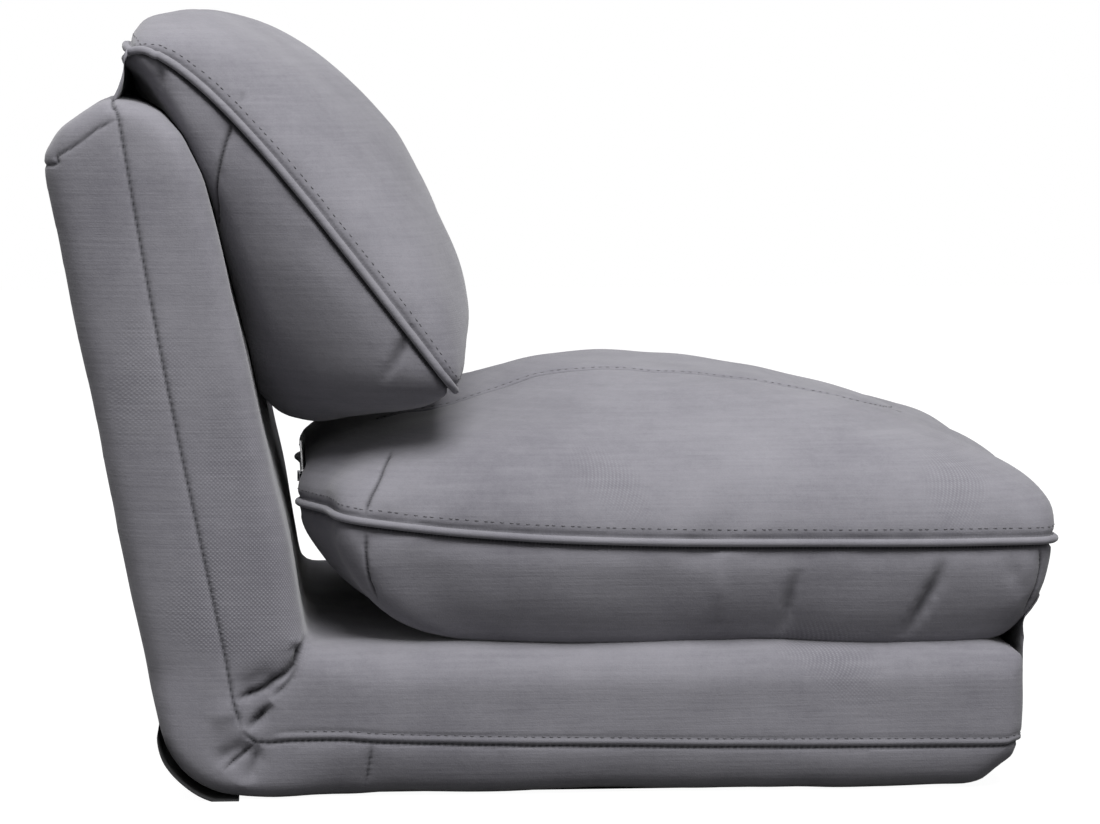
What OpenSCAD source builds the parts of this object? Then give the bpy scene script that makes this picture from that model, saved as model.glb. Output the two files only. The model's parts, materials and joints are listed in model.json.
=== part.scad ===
// Folding floor chair: a jointed two-part mattress on a hidden steel frame, a fold-out seat cushion
// and a head pillow that hangs from a cloth flap. +X is the front, Y the width and Z is up.

/* [Mattress] */
// Width of the base and backrest
chair_w = 560; // [420:10:700]
// Length of the base from the hinge pivot to its front face
base_len = 611; // [560:1:660]
// Thickness of the base
base_t = 118; // [112:2:128]
// Height of the hinge pivot above the floor
pivot_h = 68; // [64:1:72]
// Length of the backrest from the hinge pivot to its top
back_len = 488; // [460:4:540]
// Depth of the backrest in front of the pivot
back_front = 58; // [54:1:62]
// Depth of the backrest behind the pivot
back_rear = 67; // [60:1:67]
// Backward lean of the raised backrest, degrees
back_lean = 11; // [8:1:16]
// Rounding of the long edges
edge_r = 16; // [8:1:22]
// Rounding of the base's front corners and the backrest's top corners
corner_r = 20; // [12:1:32]
// Thickness of the padded cover cloth
cover_t = 3; // [2:0.5:5]
// Gap between the two halves at the fold
fold_gap = 1.2; // [0.8:0.2:3]
// Width of the turned hem round the bottom opening
hem_w = 34; // [20:2:60]
// Thickness of the black bottom cloth
cloth_t = 1.2; // [0.8:0.2:2]

/* [Welt] */
// Height of the side welt above the floor
welt_z = 44; // [36:1:52]
// Width of the flat welt band
welt_h = 9; // [6:1:14]
// How far the welt stands out from the cover
welt_t = 1.6; // [1:0.2:3]

/* [Steel frame] */
// Outer diameter of the frame tube
tube_d = 19; // [16:1:22]
// Wall of the frame tube
tube_wall = 1.5; // [1:0.25:2.5]
// Distance of the frame's side tubes from the centre
tube_y = 214; // [150:2:214]
// Bend radius of the frame tube on its centre line
bend_r = 60; // [40:5:90]
// Distance from the front face and the backrest's top to the end tubes
tube_inset = 58; // [45:1:70]
// Distance from the pivot to the cut ends of the tubes
tube_start = 58; // [54:1:70]

/* [Ratchet hinge] */
// Thickness of the toothed lower arm and of the pawl
arm_t = 3; // [2:0.5:4]
// Thickness of each cheek of the upper arm
cheek_t = 2; // [1.5:0.5:3]
// Tip radius of the ratchet teeth
ratchet_r = 25; // [22:1:28]
// Depth of the ratchet teeth
tooth_depth = 4; // [2.5:0.5:5]
// Number of ratchet teeth cut on the head
tooth_count = 6; // [4:1:8]
// Radius of the pivot rivet
rivet_r = 5; // [4:0.5:6]
// Radius of the rivet's heads
rivet_head_r = 9; // [7:0.5:11]
// Thickness of the rivet's heads
rivet_head_t = 2.4; // [1.5:0.3:3]
// Distance from the pivot to the pawl's pin
pawl_reach = 44; // [42:1:48]
// Radius of the pawl's pin
pawl_pin_r = 3; // [2:0.5:3.5]
// Radius of the pawl's eye
pawl_eye_r = 6; // [5:0.5:7]
// Clearance round the pivot rivet and the pawl's pin
run_gap = 0.05; // [0.02:0.01:0.08]
// Clearance between the plates of the hinge
plate_gap = 0.3; // [0.2:0.05:0.5]
// Clearance between the pawl's nose and the teeth while it is held off
pawl_gap = 0.4; // [0.3:0.1:1]

/* [Seat cushion] */
// Clearance at the hinge between the backrest's front face and the seat cushion's rear piping
seat_gap = 8; // [6:1:40]
// Width of the seat cushion at its piping
seat_w = 548; // [410:2:690]
// Height of the boxing below the piping
seat_box_h = 79; // [60:1:90]
// Height of the crown above the piping
seat_crown_h = 126; // [80:2:140]
// Rise of the piping towards the backrest
seat_lift = 24; // [0:2:32]
// Backward bulge of the rear panel
seat_rear_bow = 20; // [0:2:22]
// Sideways bulge of the side panels
seat_side_bow = 4; // [0:1:8]
// Overhang of the piping past the base's front face
seat_overhang = 28; // [10:1:30]
// Radius of the piping cord
piping_r = 3.4; // [2.5:0.1:4.5]
// Length of the cloth hinge strip between base and seat
strip_len = 22; // [16:1:30]
// Width of the cloth hinge strip
strip_w = 470; // [300:10:600]
// Thickness of the cloth hinge strip
strip_t = 1.5; // [1:0.25:2.5]

/* [Seat zip] */
// Length of the zip in the rear panel
zip_len = 280; // [200:10:290]
// Height of the zip above the piping
zip_rise = 15; // [13:1:18]
// Width of the zip tape
tape_w = 14; // [12:1:16]
// Thickness of the zip tape
tape_t = 1.2; // [0.8:0.1:1.6]
// Width of the closed row of zip teeth
coil_w = 5; // [4:0.5:7]
// Height of the zip teeth over the tape
coil_t = 1.4; // [1:0.2:2]
// Length of the zip slider
slider_len = 11; // [8:1:15]
// Width of the zip slider
slider_w = 8.5; // [7:0.5:11]
// Wall of the zip slider
slider_t = 1; // [0.8:0.1:1.6]
// Length of the zip's pull tab
tab_len = 13.5; // [10:0.5:14]
// Width of the zip's pull tab
tab_w = 6; // [4.5:0.5:8]
// Thickness of the zip's pull tab
tab_t = 1.2; // [0.8:0.1:2]
// Radius of the slider's bridge bar
bar_r = 0.9; // [0.7:0.1:1.2]

/* [Head pillow] */
// Length of the pillow along its side piping
pillow_len = 365; // [300:5:400]
// Width of the pillow at its piping
pillow_w = 536; // [400:4:680]
// Crown of the pillow in front of its piping
pillow_front = 110; // [80:2:116]
// Depth of the pillow behind its piping
pillow_rear = 122; // [80:2:122]
// Forward bow of the side piping
pillow_bow = 23; // [0:1:32]
// Angle between the backrest and the pillow's side piping
pillow_open = 32.5; // [31:0.5:36]
// Length of the flap that carries the pillow
flap_len = 42; // [36:1:60]
// Width of the flap
flap_w = 440; // [300:10:520]
// Thickness of the flap
flap_t = 2; // [1.5:0.25:3]

/* [Hidden] */

over = 2;
nest_gap = 0.3;
round_fn = 32;
tube_fn = 64;

// Places that follow from the sizes, in the side view
inner_rise = base_t - pivot_h;
inner_run = (back_front - inner_rise * sin(back_lean)) / cos(back_lean);
fold_angle = atan2(inner_rise, inner_run);
recline = 90 - back_lean;
rear_corner_share = 0.925;
rear_reach = back_len * rear_corner_share * sin(back_lean) + back_rear * cos(back_lean);
front_reach = base_len + seat_overhang + nest_gap + 2 * piping_r;
pivot_x = (rear_reach - front_reach) / 2;
front_x = pivot_x + base_len;
seat_rear_x = pivot_x + back_front + seat_gap;
seat_len = front_x + seat_overhang - seat_rear_x;
foam_in = cover_t + nest_gap;
hem_front = base_t * 0.4;
plate_half = arm_t / 2 + plate_gap;
stack_half = plate_half + cheek_t;
tooth_pitch = recline / (tooth_count - 1);
root_r = ratchet_r - tooth_depth;
tail_h = tube_d - 2 * tube_wall - 2 * nest_gap;
tail_len = 1.6 * tube_d;
pocket_r = ratchet_r + 8 * cheek_t;
pocket_half = stack_half + rivet_head_t + nest_gap;
edge_small = 0.7 * edge_r;

// Side outline of the base as shares of its thickness, measured back from the front and up from the floor
base_front_shares = [[0.36, 0], [0.25, 0.07], [0.16, 0.14], [0.045, 0.25], [0, 0.37], [0, 1]];
// Side outline of the backrest: share of its length, then share of its depth before or behind the pivot
back_front_shares = [[0.16, 1.02], [0.25, 1.05], [0.34, 1.02], [0.5, 1], [0.7, 0.95], [0.845, 0.88],
    [0.92, 0.73], [0.96, 0.52], [0.983, 0.27], [1, -0.1]];
back_rear_shares = [[0.997, 0.2], [0.966, 0.74], [0.925, 1]];

module at_pivot() {
    translate([pivot_x, 0, pivot_h]) children();
}

module back_frame_at() {
    at_pivot() rotate([0, -back_lean, 0]) children();
}

// A side outline drawn in X and Z, extruded across the width
module across(width) {
    rotate([90, 0, 0]) linear_extrude(width, center = true) children();
}

module rounded_box(x, y, r) {
    offset(r = r, $fn = round_fn) square([x - 2 * r, y - 2 * r], center = true);
}

// Wedge of the side view between two angles round the pivot, drawn in at both sides by half the fold gap
module wedge(from, to, reach) {
    mid = (from + to) / 2;
    half = (to - from) / 2;
    tip = fold_gap / 2 / sin(half);
    far = reach / cos(half / 2);
    translate(tip * [cos(mid), sin(mid)])
        polygon([[0, 0], far * [cos(from), sin(from)], far * [cos(from + half / 2), sin(from + half / 2)],
            far * [cos(mid), sin(mid)], far * [cos(to - half / 2), sin(to - half / 2)],
            far * [cos(to), sin(to)]]);
}

module base_outline(in) {
    offset(delta = -in)
        offset(r = edge_small, $fn = round_fn) offset(delta = -edge_small)
            polygon(concat([[-base_t, 0]],
                [for (s = base_front_shares) [base_len - s[0] * base_t, s[1] * base_t]],
                [[-base_t, base_t]]));
}

// The base, drawn in evenly by one size and longer than needed at the rear
module base_body(in) {
    intersection() {
        translate([pivot_x, 0, 0]) across(chair_w - 2 * in) base_outline(in);
        translate([0, 0, base_t / 2]) rotate([90, 0, 90]) linear_extrude(4 * base_len, center = true)
            rounded_box(chair_w - 2 * in, base_t - 2 * in, edge_small);
        translate([pivot_x, 0, -over]) linear_extrude(base_t + 2 * over)
            rounded_box(2 * base_len - 2 * in, chair_w - 2 * in, corner_r);
    }
}

// The base with its rear cut at the fold
module base_pad(in) {
    intersection() {
        base_body(in);
        at_pivot() across(chair_w) wedge(-90, fold_angle, 2 * base_len);
    }
}

module back_outline(in) {
    offset(delta = -in)
        offset(r = edge_small, $fn = round_fn) offset(delta = -edge_small)
            polygon(concat([[-back_rear, -back_len / 4], [back_front, -back_len / 4]],
                [for (s = back_front_shares) [s[1] * back_front, s[0] * back_len]],
                [for (s = back_rear_shares) [-s[1] * back_rear, s[0] * back_len]]));
}

back_bulge = back_front * (max([for (s = back_front_shares) s[1]]) - 1);
back_depth = back_front + back_bulge + back_rear;
back_mid = back_depth / 2 - back_rear;

// The backrest, drawn in evenly by one size and longer than needed at its lower end
module back_body(in) {
    intersection() {
        back_frame_at() across(chair_w - 2 * in) back_outline(in);
        back_frame_at() translate([back_mid, 0, 0])
            linear_extrude(3 * back_len, center = true)
                rounded_box(back_depth - 2 * in, chair_w - 2 * in, edge_r);
        back_frame_at() rotate([90, 0, 90]) linear_extrude(2 * back_depth, center = true)
            rounded_box(chair_w - 2 * in, 2 * back_len - 2 * in, corner_r);
    }
}

// The backrest with its lower end cut at the fold
module back_pad(in) {
    intersection() {
        back_body(in);
        at_pivot() across(chair_w) wedge(fold_angle, 180 + back_lean, 2 * back_len);
    }
}

hem_x = pivot_x + hem_w + pocket_r / 2;
hem_len = base_len - hem_w - pocket_r / 2 - hem_w - hem_front;

// Opening in the bottom of the base cover, wider by the gap that is given
module hem_opening(gap, low, high) {
    translate([hem_x - gap, -chair_w / 2 + hem_w - gap, low])
        cube([hem_len + 2 * gap, chair_w - 2 * hem_w + 2 * gap, high - low]);
}

module base_cover() color("#77777f") difference() {
    base_pad(0);
    base_body(cover_t);
    hem_opening(0, -over, 2 * cover_t);
}

module base_underside() color("#161618") hem_opening(-nest_gap, 0, cloth_t);

// Steel tube bent to a U, from its cut ends to the end bar
module u_tube(r, len, start) {
    leg = len - bend_r;
    for (side = [-1, 1]) {
        translate([start, side * tube_y, 0]) rotate([0, 90, 0])
            cylinder(r = r, h = leg - start, $fn = tube_fn);
        translate([leg, side * (tube_y - bend_r), 0]) rotate([0, 0, side < 0 ? -90 : 0])
            rotate_extrude(angle = 90, $fn = tube_fn) translate([bend_r, 0]) circle(r = r, $fn = tube_fn);
    }
    translate([len, tube_y - bend_r, 0]) rotate([90, 0, 0])
        cylinder(r = r, h = 2 * (tube_y - bend_r), $fn = tube_fn);
}

// Cross tube between the side tubes
module cross_tube(r, at) {
    reach = tube_y - tube_d / 2 + tube_wall / 2;
    translate([at, -reach, 0]) rotate([-90, 0, 0]) cylinder(r = r, h = 2 * reach, $fn = tube_fn);
}

module steel_frame(len) {
    difference() {
        union() {
            u_tube(tube_d / 2, len, tube_start);
            difference() {
                cross_tube(tube_d / 2, len / 2);
                u_tube(tube_d / 2 - tube_wall / 2, len, tube_start);
            }
        }
        u_tube(tube_d / 2 - tube_wall, len, tube_start - over);
        cross_tube(tube_d / 2 - tube_wall, len / 2);
        for (side = [-1, 1])
            translate([tube_start - over, side * tube_y - plate_half - nest_gap, -tube_d])
                cube([tail_len + over, 2 * (plate_half + nest_gap), 2 * tube_d]);
    }
}

// Room for a frame and its hinges, in the foam
module frame_room(len) {
    u_tube(tube_d / 2 + nest_gap, len, tube_start - 2 * nest_gap);
    cross_tube(tube_d / 2 + nest_gap, len / 2);
    for (side = [-1, 1])
        translate([0, side * tube_y - pocket_half - nest_gap, nest_gap - pocket_r])
            cube([tube_start, 2 * (pocket_half + nest_gap), 2 * (pocket_r - nest_gap)]);
}

module hinge_pocket() {
    for (side = [-1, 1])
        at_pivot() translate([0, side * tube_y, 0]) rotate([90, 0, 0])
            cylinder(r = pocket_r, h = 2 * pocket_half, center = true, $fn = tube_fn);
}

base_frame_len = base_len - tube_inset;
back_frame_len = back_len - tube_inset;

module base_foam(low, high) {
    difference() {
        union() {
            base_pad(foam_in);
            intersection() {
                hem_opening(-nest_gap, cloth_t + nest_gap, 2 * foam_in);
                at_pivot() across(chair_w) wedge(-90, fold_angle, 2 * base_len);
            }
        }
        at_pivot() frame_room(base_frame_len);
        hinge_pocket();
        for (z = [[-2 * base_t, low], [high, 2 * base_t]])
            translate([pivot_x - base_len, -chair_w, z[0]]) cube([3 * base_len, 2 * chair_w, z[1] - z[0]]);
    }
}

module base_foam_lower() color("#d8cf9a") base_foam(-base_t, pivot_h);

module base_foam_upper() color("#e2d9a6") base_foam(pivot_h, 2 * base_t);

module base_frame() color("#3a3b40") at_pivot() steel_frame(base_frame_len);

module back_cover() color("#77777f") difference() {
    back_pad(0);
    back_body(cover_t);
}

module back_foam(rear) {
    difference() {
        back_pad(foam_in);
        back_frame_at() rotate([0, -90, 0]) frame_room(back_frame_len);
        hinge_pocket();
        back_frame_at() translate([rear ? 0 : -back_depth, -chair_w, -back_len])
            cube([back_depth, 2 * chair_w, 3 * back_len]);
    }
}

module back_foam_front() color("#e2d9a6") back_foam(false);

module back_foam_rear() color("#d8cf9a") back_foam(true);

module back_frame() color("#3a3b40") back_frame_at() rotate([0, -90, 0]) steel_frame(back_frame_len);

// Corner of the mattress behind the fold, between the base's end and the backrest's end
module fold_sector(inner, outer) {
    at_pivot() across(chair_w - (inner > 0 ? 0 : 2 * nest_gap)) intersection() {
        difference() {
            circle(r = outer, $fn = tube_fn);
            if (inner > 0) circle(r = inner, $fn = tube_fn);
        }
        wedge(180 + back_lean, 270, 3 * outer);
    }
}

module fold_gusset() color("#6c6c74") difference() {
    fold_sector(0, back_rear - cloth_t - nest_gap);
    hinge_pocket();
}

module fold_cloth() color("#161618") fold_sector(back_rear - cloth_t, back_rear);

// Welt band sewn round the sides and front of the base, just outside its cover
module base_welt() color("#82828a") intersection() {
    difference() {
        translate([0, 0, welt_z]) linear_extrude(welt_h) offset(delta = welt_t + nest_gap) welt_plan();
        translate([0, 0, welt_z - over]) linear_extrude(welt_h + 2 * over)
            offset(delta = nest_gap) welt_plan();
    }
    at_pivot() across(2 * chair_w) wedge(-90, fold_angle, 2 * base_len);
}

module welt_plan() {
    translate([pivot_x, 0]) rounded_box(2 * base_len, chair_w, corner_r);
}

// Flat plate of the hinge, centred on its own side tube
module plate(thick, side) {
    translate([0, side * tube_y, 0]) across(thick) children();
}

function polar(r, a) = [r * cos(a), r * sin(a)];

// Angle of the pawl's nose from the backrest's own direction
nose_angle = 4;
pawl_angle = 24;
first_tooth = 90 + back_lean + nose_angle + 2;
tooth_lean = 1;
head_r = root_r * 0.97;

// Toothed lower arm: round head with the ratchet teeth, and a tail that sits in the base tube
module hinge_lower(side) color("#9a9ca2") at_pivot() difference() {
    plate(arm_t, side) {
        circle(r = head_r, $fn = tube_fn);
        polygon([[0, 0], for (i = [0:tooth_count - 1]) each [
            polar(i == 0 ? head_r / 2 : root_r, first_tooth + (i - 0.5) * tooth_pitch),
            polar(ratchet_r, first_tooth + (i - 0.5) * tooth_pitch + tooth_lean)],
            polar(root_r, first_tooth + (tooth_count - 0.5) * tooth_pitch)]);
        polygon([[0, -root_r * 0.8], [tube_start, -tail_h / 2], [tube_start + tail_len, -tail_h / 2],
            [tube_start + tail_len, tail_h / 2], [tube_start, tail_h / 2], [0, root_r * 0.8]]);
    }
    translate([0, side * tube_y, 0]) rotate([90, 0, 0])
        cylinder(r = rivet_r + run_gap, h = 2 * arm_t, center = true, $fn = tube_fn);
}

module hinge_lower_left() hinge_lower(1);

module hinge_lower_right() hinge_lower(-1);

// Pivot rivet with a formed head on each side of the cheeks
module hinge_rivet(side) color("#b4b6ba") at_pivot() translate([0, side * tube_y, 0]) rotate([90, 0, 0]) {
    cylinder(r = rivet_r, h = 2 * (stack_half + nest_gap), center = true, $fn = tube_fn);
    for (end = [0, 1]) mirror([0, 0, end]) translate([0, 0, stack_half + nest_gap / 2])
        cylinder(r1 = rivet_head_r, r2 = rivet_head_r - rivet_head_t / 2, h = rivet_head_t - nest_gap,
            $fn = tube_fn);
}

module hinge_rivet_left() hinge_rivet(1);

module hinge_rivet_right() hinge_rivet(-1);

spacer_start = pawl_reach + pawl_eye_r + over / 2;

// Upper arm in its own frame along the backrest: two cheeks, the pawl's pin and a tail for the tube
module hinge_upper(side) color("#8e9096") back_frame_at() rotate([0, -90, 0]) difference() {
    union() {
        for (face = [-1, 1]) translate([0, side * tube_y + face * (plate_half + cheek_t / 2), 0])
            across(cheek_t) cheek();
        plate(2 * plate_half, side) polygon([[spacer_start, -tail_h / 2], [spacer_start, tail_h / 2],
            [tube_start + tail_len, tail_h / 2], [tube_start + tail_len, -tail_h / 2]]);
        translate([pawl_at[0], side * tube_y, pawl_at[1]]) rotate([90, 0, 0])
            cylinder(r = pawl_pin_r, h = 2 * stack_half, center = true, $fn = tube_fn);
    }
    translate([0, side * tube_y, 0]) rotate([90, 0, 0])
        cylinder(r = rivet_r + run_gap, h = 3 * stack_half, center = true, $fn = tube_fn);
}

pawl_at = polar(pawl_reach, pawl_angle);
cheek_r = root_r * 0.9;

// Side view of a cheek: a round eye at the pivot that widens to carry the pawl and narrows to the tail
module cheek() {
    circle(r = cheek_r, $fn = tube_fn);
    translate(pawl_at) circle(r = pawl_eye_r, $fn = tube_fn);
    polygon([[0, -cheek_r], [tube_start - nest_gap, -tail_h / 2], [tube_start - nest_gap, tail_h / 2],
        pawl_at + polar(pawl_eye_r, 90 - pawl_angle / 4), polar(cheek_r, 90 + pawl_angle / 2)]);
}

module hinge_upper_left() hinge_upper(1);

module hinge_upper_right() hinge_upper(-1);

// Pawl: an eye on the pin and a nose that is held just off the teeth
module pawl(side) color("#a8aab0") back_frame_at() rotate([0, -90, 0]) difference() {
    plate(arm_t, side) {
        translate(pawl_at) circle(r = pawl_eye_r, $fn = tube_fn);
        polygon([polar(ratchet_r + pawl_gap, nose_angle),
            polar(ratchet_r + pawl_gap + tooth_depth, nose_angle - 8),
            pawl_at + polar(pawl_eye_r, pawl_angle - 100), pawl_at + polar(pawl_eye_r * 0.7, pawl_angle),
            pawl_at + polar(pawl_eye_r, pawl_angle + 150),
            polar(ratchet_r + pawl_gap + tooth_depth / 4, nose_angle + 6)]);
    }
    translate([pawl_at[0], side * tube_y, pawl_at[1]]) rotate([90, 0, 0])
        cylinder(r = pawl_pin_r + run_gap, h = 2 * arm_t, center = true, $fn = tube_fn);
}

module pawl_left() pawl(1);

module pawl_right() pawl(-1);

spring_w = 0.8;
spring_low = over / 2 - tail_h / 2;

// Leaf spring between the upper arm's tail and the pawl's back
module pawl_spring(side) color("#c8cace")
    back_frame_at() rotate([0, -90, 0]) plate(arm_t - 2 * plate_gap, side)
    polygon([[spacer_start - nest_gap, spring_low], [spacer_start - nest_gap, spring_low + spring_w],
        [ratchet_r + 3 * tooth_depth, spring_low + spring_w], [ratchet_r + 3 * tooth_depth, spring_low]]);

module pawl_spring_left() pawl_spring(1);

module pawl_spring_right() pawl_spring(-1);

// Cushions. Each level of a cushion is a rounded rectangle in plan: its height as a share of the crown or of
// the boxing, how far it is drawn in at the low and high X ends as shares of the length, how far at the sides
// as a share of the half width, its corner radius as a share of the half width, and its share of the bulges.
seat_level_shares = [
    [-1, 0.19, 0.06, 0.075, 0.1, 0], [-0.95, 0.14, 0.05, 0.05, 0.1, 0.1],
    [-0.82, 0.09, 0.035, 0.03, 0.1, 0.3], [-0.6, 0.045, 0.018, 0.014, 0.1, 0.6],
    [-0.3, 0.015, 0.008, 0.006, 0.1, 0.9], [-0.07, 0.005, 0.003, 0.006, 0.09, 1],
    [0.07, 0.005, 0.003, 0.008, 0.09, 1], [0.22, 0.006, 0.004, 0.03, 0.14, 1],
    [0.4, 0.04, 0.04, 0.085, 0.22, 0.9], [0.57, 0.1, 0.11, 0.18, 0.32, 0.7],
    [0.72, 0.175, 0.19, 0.3, 0.42, 0.5], [0.84, 0.265, 0.28, 0.43, 0.43, 0.3],
    [0.93, 0.34, 0.38, 0.57, 0.36, 0.1], [0.985, 0.41, 0.48, 0.74, 0.2, 0]];
pillow_level_shares = [
    [-0.97, 0.72, 0.2, 0.5, 0.2, 0], [-0.85, 0.655, 0.14, 0.34, 0.22, 0],
    [-0.66, 0.555, 0.1, 0.2, 0.22, 0], [-0.46, 0.44, 0.06, 0.11, 0.22, 0],
    [-0.28, 0.33, 0.026, 0.05, 0.2, 0], [-0.12, 0.13, 0.006, 0.02, 0.18, 0],
    [-0.05, 0.01, 0.004, 0.01, 0.1, 0], [0.05, 0.008, 0.002, 0.01, 0.1, 0],
    [0.22, 0.005, 0.03, 0.04, 0.18, 0], [0.42, 0.05, 0.078, 0.11, 0.26, 0],
    [0.62, 0.125, 0.175, 0.22, 0.32, 0], [0.8, 0.21, 0.305, 0.37, 0.36, 0],
    [0.92, 0.31, 0.42, 0.54, 0.34, 0], [0.985, 0.385, 0.475, 0.74, 0.24, 0]];
corner_steps = 4;
side_steps = 6;
flat_share = 0.67;

// Rounded rectangle between two X places, with bulging sides and rear
function plan(low, high, half, r, side_bow, rear_bow) =
    let (mid = (low + high) / 2, hx = (high - low) / 2, c = min(r, hx, half) * 0.999)
    [for (q = [0:3]) let (sx = q == 0 || q == 3 ? 1 : -1, sy = q < 2 ? 1 : -1)
        each concat(
            [for (i = [0:corner_steps]) let (a = 90 * q + 90 * i / corner_steps)
                [mid + sx * (hx - c) + c * cos(a), sy * (half - c) + c * sin(a)]],
            [for (i = [1:side_steps - 1]) let (f = 1 - 2 * i / side_steps,
                b = min(1, (1 - abs(f)) / (1 - flat_share)))
                q % 2 == 0 ? [mid + sx * f * (hx - c), sy * (half + side_bow * b)]
                    : q == 1 ? [low - rear_bow * b, sy * f * (half - c)] : [high, sy * f * (half - c)]])];

// Height that the piping line adds at a share of the length from the low end, for the two cushions
function seat_rise(f) = seat_lift * pow(1 - min(max(f, 0), 1), 4);
function pillow_rise(f) = pillow_bow * sin(180 * pow(min(max(f, 0), 1), 0.5));

// One level: [height share, drawn in at X low, X high and the sides, corner radius share, bow share]
function level_points(s, len, w, up, down, in, seat) =
    let (z = s[0] * (s[0] > 0 ? up - in : down - in), fade = pow(1 - abs(s[0]), 0.7),
        ring = plan(len * s[1] + in, len * (1 - s[2]) - in, w / 2 * (1 - s[3]) - in,
            max(w / 2 * s[4] - in, in / 2 + over / 2),
            (seat ? seat_side_bow : 0) * s[5], (seat ? seat_rear_bow : 0) * s[5]))
    [for (p = ring) [p[0], p[1], z + fade * (seat ? seat_rise(p[0] / len) : pillow_rise(p[0] / len))]];

// Closed skin over a stack of rings, with a centre point at each end
module skin(rings, bottom, top) {
    n = len(rings[0]);
    k = len(rings);
    points = concat([bottom], [for (r = rings) each r], [top]);
    last = len(points) - 1;
    faces = concat(
        [for (i = [0:n - 1]) [0, 1 + i, 1 + (i + 1) % n]],
        [for (j = [0:k - 2], i = [0:n - 1]) let (a = 1 + j * n + i, b = 1 + j * n + (i + 1) % n)
            each [[a, a + n, b + n], [a, b + n, b]]],
        [for (i = [0:n - 1]) [last, 1 + (k - 1) * n + (i + 1) % n, 1 + (k - 1) * n + i]]);
    polyhedron(points, faces, convexity = 6);
}

module cushion(levels, len, w, up, down, in, seat) {
    rings = [for (s = levels) level_points(s, len, w, up, down, in, seat)];
    lowest = levels[0];
    highest = levels[len(levels) - 1];
    skin(rings, [len * (1 + lowest[1] - lowest[2]) / 2, 0, -down + in],
        [len * (1 + highest[1] - highest[2]) / 2, 0, up - in]);
}

seat_bottom = base_t + 2 * nest_gap;
seam_z = seat_bottom + seat_box_h;

module seat_at() {
    translate([seat_rear_x, 0, seam_z]) children();
}

module seat_form(in) {
    seat_at() cushion(seat_level_shares, seat_len, seat_w, seat_crown_h, seat_box_h, in, true);
}

zip_z = seam_z + seat_lift + zip_rise;
zip_face_x = seat_rear_x + seat_len * seat_level_shares[7][1] - seat_rear_bow;
tape_x = zip_face_x + cover_t / 4;

// Flat plate of the zip between two X places, centred on the zip's line
module zip_plate(w, h, from, to, at_y = 0) {
    translate([from, at_y - w / 2, zip_z - h / 2]) cube([to - from, w, h]);
}

module seat_cover() color("#77777f") difference() {
    seat_form(0);
    seat_form(cover_t);
    zip_plate(zip_len + 2 * nest_gap, tape_w + 2 * nest_gap,
        zip_face_x - 2 * cover_t, zip_face_x + 4 * cover_t);
}

// Half of the filling, above or below the piping line
module filling(upper) {
    difference() {
        seat_form(foam_in);
        translate([seat_rear_x - seat_len, -seat_w,
            seam_z + (upper ? nest_gap / 2 - 2 * seat_box_h : -nest_gap / 2)])
            cube([3 * seat_len, 2 * seat_w, upper ? 2 * seat_box_h : 2 * seat_crown_h]);
    }
}

module seat_foam() color("#d8cf9a") filling(false);

module seat_fill() color("#e9e6dc") filling(true);

// Ring of piping just outside the cover, as a tube of few sides
module piping(path, r, sides) {
    n = len(path);
    rings = [for (i = [0:n - 1]) let (d = path[(i + 1) % n] - path[(i + n - 1) % n],
        out = [d[1], -d[0], 0] / norm([d[0], d[1]]), up = cross(out, d) / norm(d))
        [for (k = [0:sides - 1]) let (a = 360 * k / sides) path[i] + r * (cos(a) * out + sin(a) * up)]];
    faces = [for (i = [0:n - 1], k = [0:sides - 1])
        let (a = i * sides + k, b = i * sides + (k + 1) % sides,
            c = ((i + 1) % n) * sides + k, d = ((i + 1) % n) * sides + (k + 1) % sides)
        each [[a, b, d], [a, d, c]]];
    polyhedron([for (r = rings) each r], faces, convexity = 8);
}

piping_out = piping_r + nest_gap;
piping_sides = 6;

// Shares of a cushion's widest ring, halfway between the levels on both sides of its piping
function seam_shares(levels) =
    let (under = [for (s = levels) if (s[0] < 0) s], above = [for (s = levels) if (s[0] > 0) s])
    (under[len(under) - 1] + above[0]) / 2;

// Centre line of a cushion's piping: its widest ring, a little further out
function piping_path(levels, len, w, seat) =
    let (s = seam_shares(levels), d = piping_out,
        ring = plan(len * s[1] - d, len * (1 - s[2]) + d, w / 2 * (1 - s[3]) + d, w / 2 * s[4] + d,
            seat ? seat_side_bow : 0, seat ? seat_rear_bow : 0))
    [for (p = ring) [p[0], p[1], seat ? seat_rise(p[0] / len) : pillow_rise(p[0] / len)]];

module seat_piping() color("#85858d") seat_at()
    piping(piping_path(seat_level_shares, seat_len, seat_w, true), piping_r, piping_sides);

// Point of the cushion's front at one of the levels of its boxing
function front_point(s) = [seat_rear_x + seat_len * (1 - s[2]), seam_z + seat_box_h * s[0]];

// Cloth strip that the seat folds out on: up the base's front and onto the cushion's lower front
module seat_hinge_strip() color("#6f6f77") {
    x = front_x + nest_gap;
    low = front_point(seat_level_shares[2]);
    high = front_point(seat_level_shares[3]);
    along = (high - low) / norm(high - low);
    out = [along[1], -along[0]];
    inner = low + 2 * nest_gap * out;
    outer = inner + strip_t * out;
    across(strip_w) polygon([[x, base_t - strip_len / 2], [x + strip_t, base_t - strip_len / 2],
        outer + along * (x + strip_t - outer[0]) / along[0], high + (2 * nest_gap + strip_t) * out,
        high + 2 * nest_gap * out, inner + along * (x - inner[0]) / along[0]]);
}

// Zip in the rear panel: tape with its closed row of teeth
module seat_zip_tape() color("#2c2c30") {
    zip_plate(zip_len, tape_w, tape_x, tape_x + tape_t);
    zip_plate(zip_len, coil_w, tape_x - coil_t, tape_x + tape_t);
}

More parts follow.
